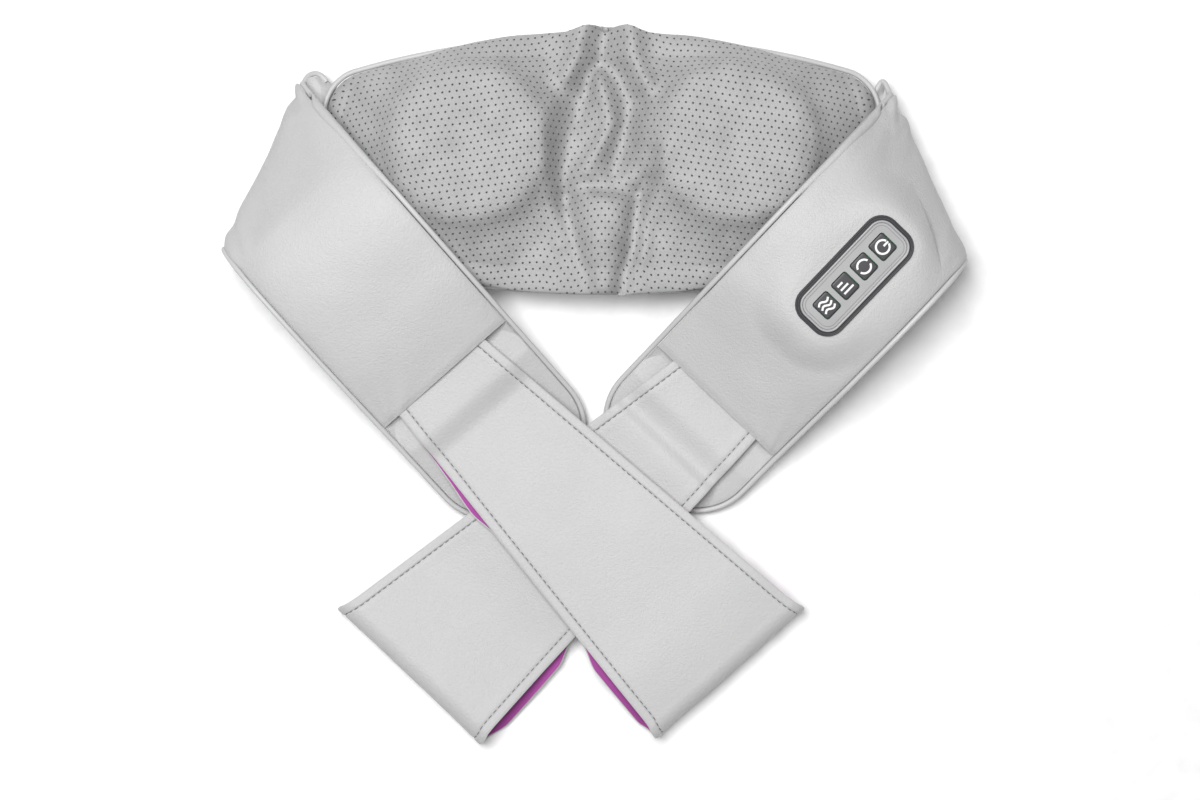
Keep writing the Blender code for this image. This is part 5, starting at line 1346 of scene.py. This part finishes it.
@dataclass
class KeyPanel:
    """Rubber bezel, face plate and four keys in the right wing."""

    length: float = 96.0
    width: float = 41.0
    corner: float = 14.0
    key_length: float = 14.0
    key_width: float = 15.5
    line: float = 1.45

    @staticmethod
    def frame_of(joints: Sequence[dict]) -> Matrix:
        """Frame of the panel, X from the power key to the heat key and Z out of the wing.

        Args:
            joints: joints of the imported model.

        Returns:
            The frame, in metres, on the face of the wing.
        """
        press = next(j for j in joints if j["name"] == "power_press")
        out = -Vector(press["axis"]).normalized()
        middles = [sum(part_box(f"{key.value}_button"), Vector()) / 2 for key in Symbol]
        along = (middles[-1] - middles[0]).normalized()
        across = out.cross(along).normalized()
        frame = Matrix((across.cross(out), across, out)).transposed().to_4x4()
        frame.translation = sum(middles, Vector()) / len(middles) + out * 0.1 * MM
        return frame

    def contour(self, inset: float, height: float) -> list[tuple[float, float, float]]:
        """Outline of the panel, drawn in by a distance, at a height."""
        flat = rounded_outline(self.length - 2 * inset, self.width - 2 * inset, self.corner - inset, 12)
        return [(*point, height) for point in flat]

    def bezel(self, frame: Matrix) -> None:
        """Rubber rim with two raised lines, a plate-grey band over its inner edge that is a painted highlight, and
        a darker grey ring inside that is painted shade.
        """
        section = ((0, -3.0), (0, 0.3), (0.3, 0.9), (0.9, 1.25), (1.5, 1.0), (1.8, 0.45), (2.3, 0.45), (2.7, 1.2),
                   (3.3, 1.9), (4.1, 2.05), (4.7, 1.7), (5.0, 1.0), (5.0, -3.0))
        pieces = Pieces()
        pieces.rings([self.contour(d, z) for d, z in section], cap=False)
        report(pieces.build("panel_rim", BEZEL, frame, sharp=50), "right_wing", "bezel_rubber", "panel_bezel")
        # Painted highlight: a plate-grey band over the inner edge of the dark rubber rim stands for where the rim
        # catches the light.
        highlight_band = Pieces()
        edge = ((3.6, 1.0), (3.6, 2.15), (4.1, 2.35), (4.9, 2.1), (5.3, 1.3), (5.3, 1.0))
        highlight_band.rings([self.contour(d, z) for d, z in edge], cap=False)
        report(highlight_band.build("panel_painted_highlight", PLATE, frame, sharp=50), "right_wing", "panel_plastic")
        # Painted shade: a thin darker grey ring inside the rim stands for the shaded inner line of the rim.
        inner = Pieces()
        groove = ((7.0, 1.02), (7.0, 1.14), (7.45, 1.14), (7.45, 1.02))
        inner.rings([self.contour(d, z) for d, z in groove], cap=False)
        report(inner.build("panel_painted_shade_line", PAINTED_SHADE_LINE, frame), "right_wing", "panel_plastic")

    def key(self, name: str, place: Matrix) -> None:
        """Key with a soft edge and a slightly crowned top."""
        loops = []
        for z, inset in ((-1.5, 0.0), (0.7, 0.0), (1.05, 0.12), (1.3, 0.5), (1.38, 1.4)):
            loops.append([(*p, z) for p in rounded_outline(self.key_length - 2 * inset, self.key_width - 2 * inset,
                                                           1.8 - inset * 0.6, 6)])
        pieces = Pieces()
        pieces.rings(loops)
        report(pieces.build(f"{name}_key_cap", KEY, place, sharp=50), f"{name}_key", "key_rubber", f"{name}_button")

    def stroke(self, pieces: Pieces, path: Sequence[tuple[float, float]]) -> None:
        """Flat raised line along points, in the key's plane."""
        line = np.array(path, float)
        run = np.gradient(line, axis=0)
        run /= np.maximum(np.linalg.norm(run, axis=1, keepdims=True), 1e-9)
        side = np.stack((-run[:, 1], run[:, 0]), -1) * self.line / 2
        top = np.stack([np.concatenate((p, (1.5,))) for p in line + side]), np.stack(
            [np.concatenate((p, (1.5,))) for p in line - side])
        grid = np.stack(top, 1)
        pieces.skin(grid, grid - (0, 0, 0.35))

    @staticmethod
    def arc(begin: float, end: float, radius: float = 4.9) -> list[tuple[float, float]]:
        """Points of an arc, in degrees from the side of the power key's end."""
        return [(-radius * math.cos(turn), -radius * math.sin(turn))
                for turn in np.radians(np.linspace(begin, end, 40))]

    def symbol(self, key: Symbol, place: Matrix) -> None:
        """Printed symbol of a key, with up pointing to the power key's end."""
        pieces = Pieces()
        if key is Symbol.POWER:
            self.stroke(pieces, self.arc(16, 344))
            self.stroke(pieces, [(-0.9, 0.0), (-3.0, 0.0), (-5.4, 0.0)])
        elif key is Symbol.DIRECTION:
            self.stroke(pieces, self.arc(15, 160))
            self.stroke(pieces, self.arc(195, 340))
        elif key is Symbol.INTENSITY:
            for y, reach in ((-3.5, 5.0), (0.0, 7.2), (3.5, 9.2)):
                self.stroke(pieces, [(4.6 - reach * share, y) for share in (0.0, 0.5, 1.0)])
        else:
            for y in (-3.5, 0.0, 3.5):
                self.stroke(pieces, [(x, y - 1.15 * math.sin(x * 2 * math.pi / 9))
                                     for x in np.linspace(-4.9, 4.9, 30)])
        piece = pieces.build(f"{key.value}_key_symbol", PRINT, place)
        report(piece, f"{key.value}_key", "key_rubber")

    def build(self, frame: Matrix) -> None:
        """Make the panel."""
        self.bezel(frame)
        for key in Symbol:
            middle = sum(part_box(f"{key.value}_button"), Vector()) / 2
            place = frame.copy()
            place.translation = middle + frame.col[2].xyz * 0.1 * MM
            self.key(key.value, place)
            self.symbol(key, place)


# ---------------------------------------------------------------- studio
@dataclass
class Studio:
    """Pale floor, soft light from nearly overhead, and a camera straight above."""

    aim: tuple[float, float] = (3.9, -6.4)
    camera_height: float = 1752.0
    lens: float = 70.0
    floor_drop: float = 0.3

    def floor(self) -> None:
        """Large pale sheet that the massager lies on."""
        side = np.linspace(-4000, 4000, 25)
        x, y = np.meshgrid(side, side, indexing="ij")
        grid = np.stack((x, y, np.full(x.shape, -self.floor_drop)), -1)
        pieces = Pieces()
        pieces.skin(grid, grid - (0, 0, 20.0))
        made = pieces.build("studio_floor", Moulded("pale_floor", (0.93, 0.93, 0.93), 0.75, 0.0))

    def lamp(self, name: str, place: tuple[float, float, float], size: float, power: float) -> None:
        """Square soft light that points at the massager.

        Args:
            name: name of the light.
            place: its place in metres.
            size: its side in metres.
            power: its power in watts.
        """
        data = bpy.data.lights.new(name, "AREA")
        data.size = size
        data.energy = power
        made = bpy.data.objects.new(name, data)
        made.location = place
        made.rotation_euler = (-Vector(place)).to_track_quat("-Z", "Y").to_euler()
        bpy.context.scene.collection.objects.link(made)

    def build(self) -> None:
        """Make the floor, lights, world and camera."""
        self.floor()
        self.lamp("key_light", (-0.35, 0.35, 2.15), 0.9, 50.0)
        self.lamp("fill_light", (0.7, -0.5, 2.2), 2.0, 9.0)
        world = bpy.data.worlds.new("studio_world")
        world.use_nodes = True
        world.node_tree.nodes["Background"].inputs[0].default_value = (1, 1, 1, 1)
        world.node_tree.nodes["Background"].inputs[1].default_value = 0.18
        bpy.context.scene.world = world
        bpy.context.scene.view_settings.view_transform = "Standard"
        data = bpy.data.cameras.new("camera")
        data.lens = self.lens
        camera = bpy.data.objects.new("camera", data)
        camera.location = (self.aim[0] * MM, self.aim[1] * MM, self.camera_height * MM)
        bpy.context.scene.collection.objects.link(camera)
        bpy.context.scene.camera = camera


def dress_frame(frame: dict) -> None:
    """Give each CAD node that stays its procedural finish."""
    slots = {part["node"]: part["material_slot"] for part in frame["record"]["subparts"]}
    for name, node in frame["nodes"].items():
        node.data.materials.clear()
        node.data.materials.append(CadFinish.of(slots[name]).material())
    LOG.info("dressed %d nodes of the frame", len(frame["nodes"]))


def main() -> None:
    """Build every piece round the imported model."""
    logging.basicConfig(level=logging.INFO, format="%(message)s")
    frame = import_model()
    dress_frame(frame)
    Studio().build()
    form = BodyForm.of_frame()
    MeshFront(form).build()
    LeatherBack(form).build()
    left = WingForm("left", -1, 45.0, 0.0, math.radians(48.7), 205.0,
                    ((-28, 33), (22, 32.5), (70, 31.5), (130, 28), (185, 16.5)), 13.0, -3.0, 12.0, 1.9,
                    ((0, 0), (60, 2.5), (89, 4.5), (112, 1.0), (215, 1.0), (238, 6.5), (285, 6.5), (305, 0.5)),
                    form.centre)
    right = WingForm("right", 1, 36.0, 8.0, math.radians(46.5), 228.0,
                     ((-28, 26), (0, 21.5), (45, 21), (90, 19.5), (150, 13.5), (205, 14.5)), 12.5, 1.0, 24.0, 9.4,
                     ((0, 0), (200, 0.0), (225, 7.0), (280, 8.0), (305, 0.5)), form.centre)
    panel = KeyPanel.frame_of(frame["joints"])
    ShawlWing(left, seed=1.3).build()
    ShawlWing(right, window=panel, seed=6.1).build()
    HandLoop(right, seed=2.2).build()
    HandLoop(left, seed=7.4).build()
    KeyPanel().build(panel)


if __name__ == "__main__":
    main()
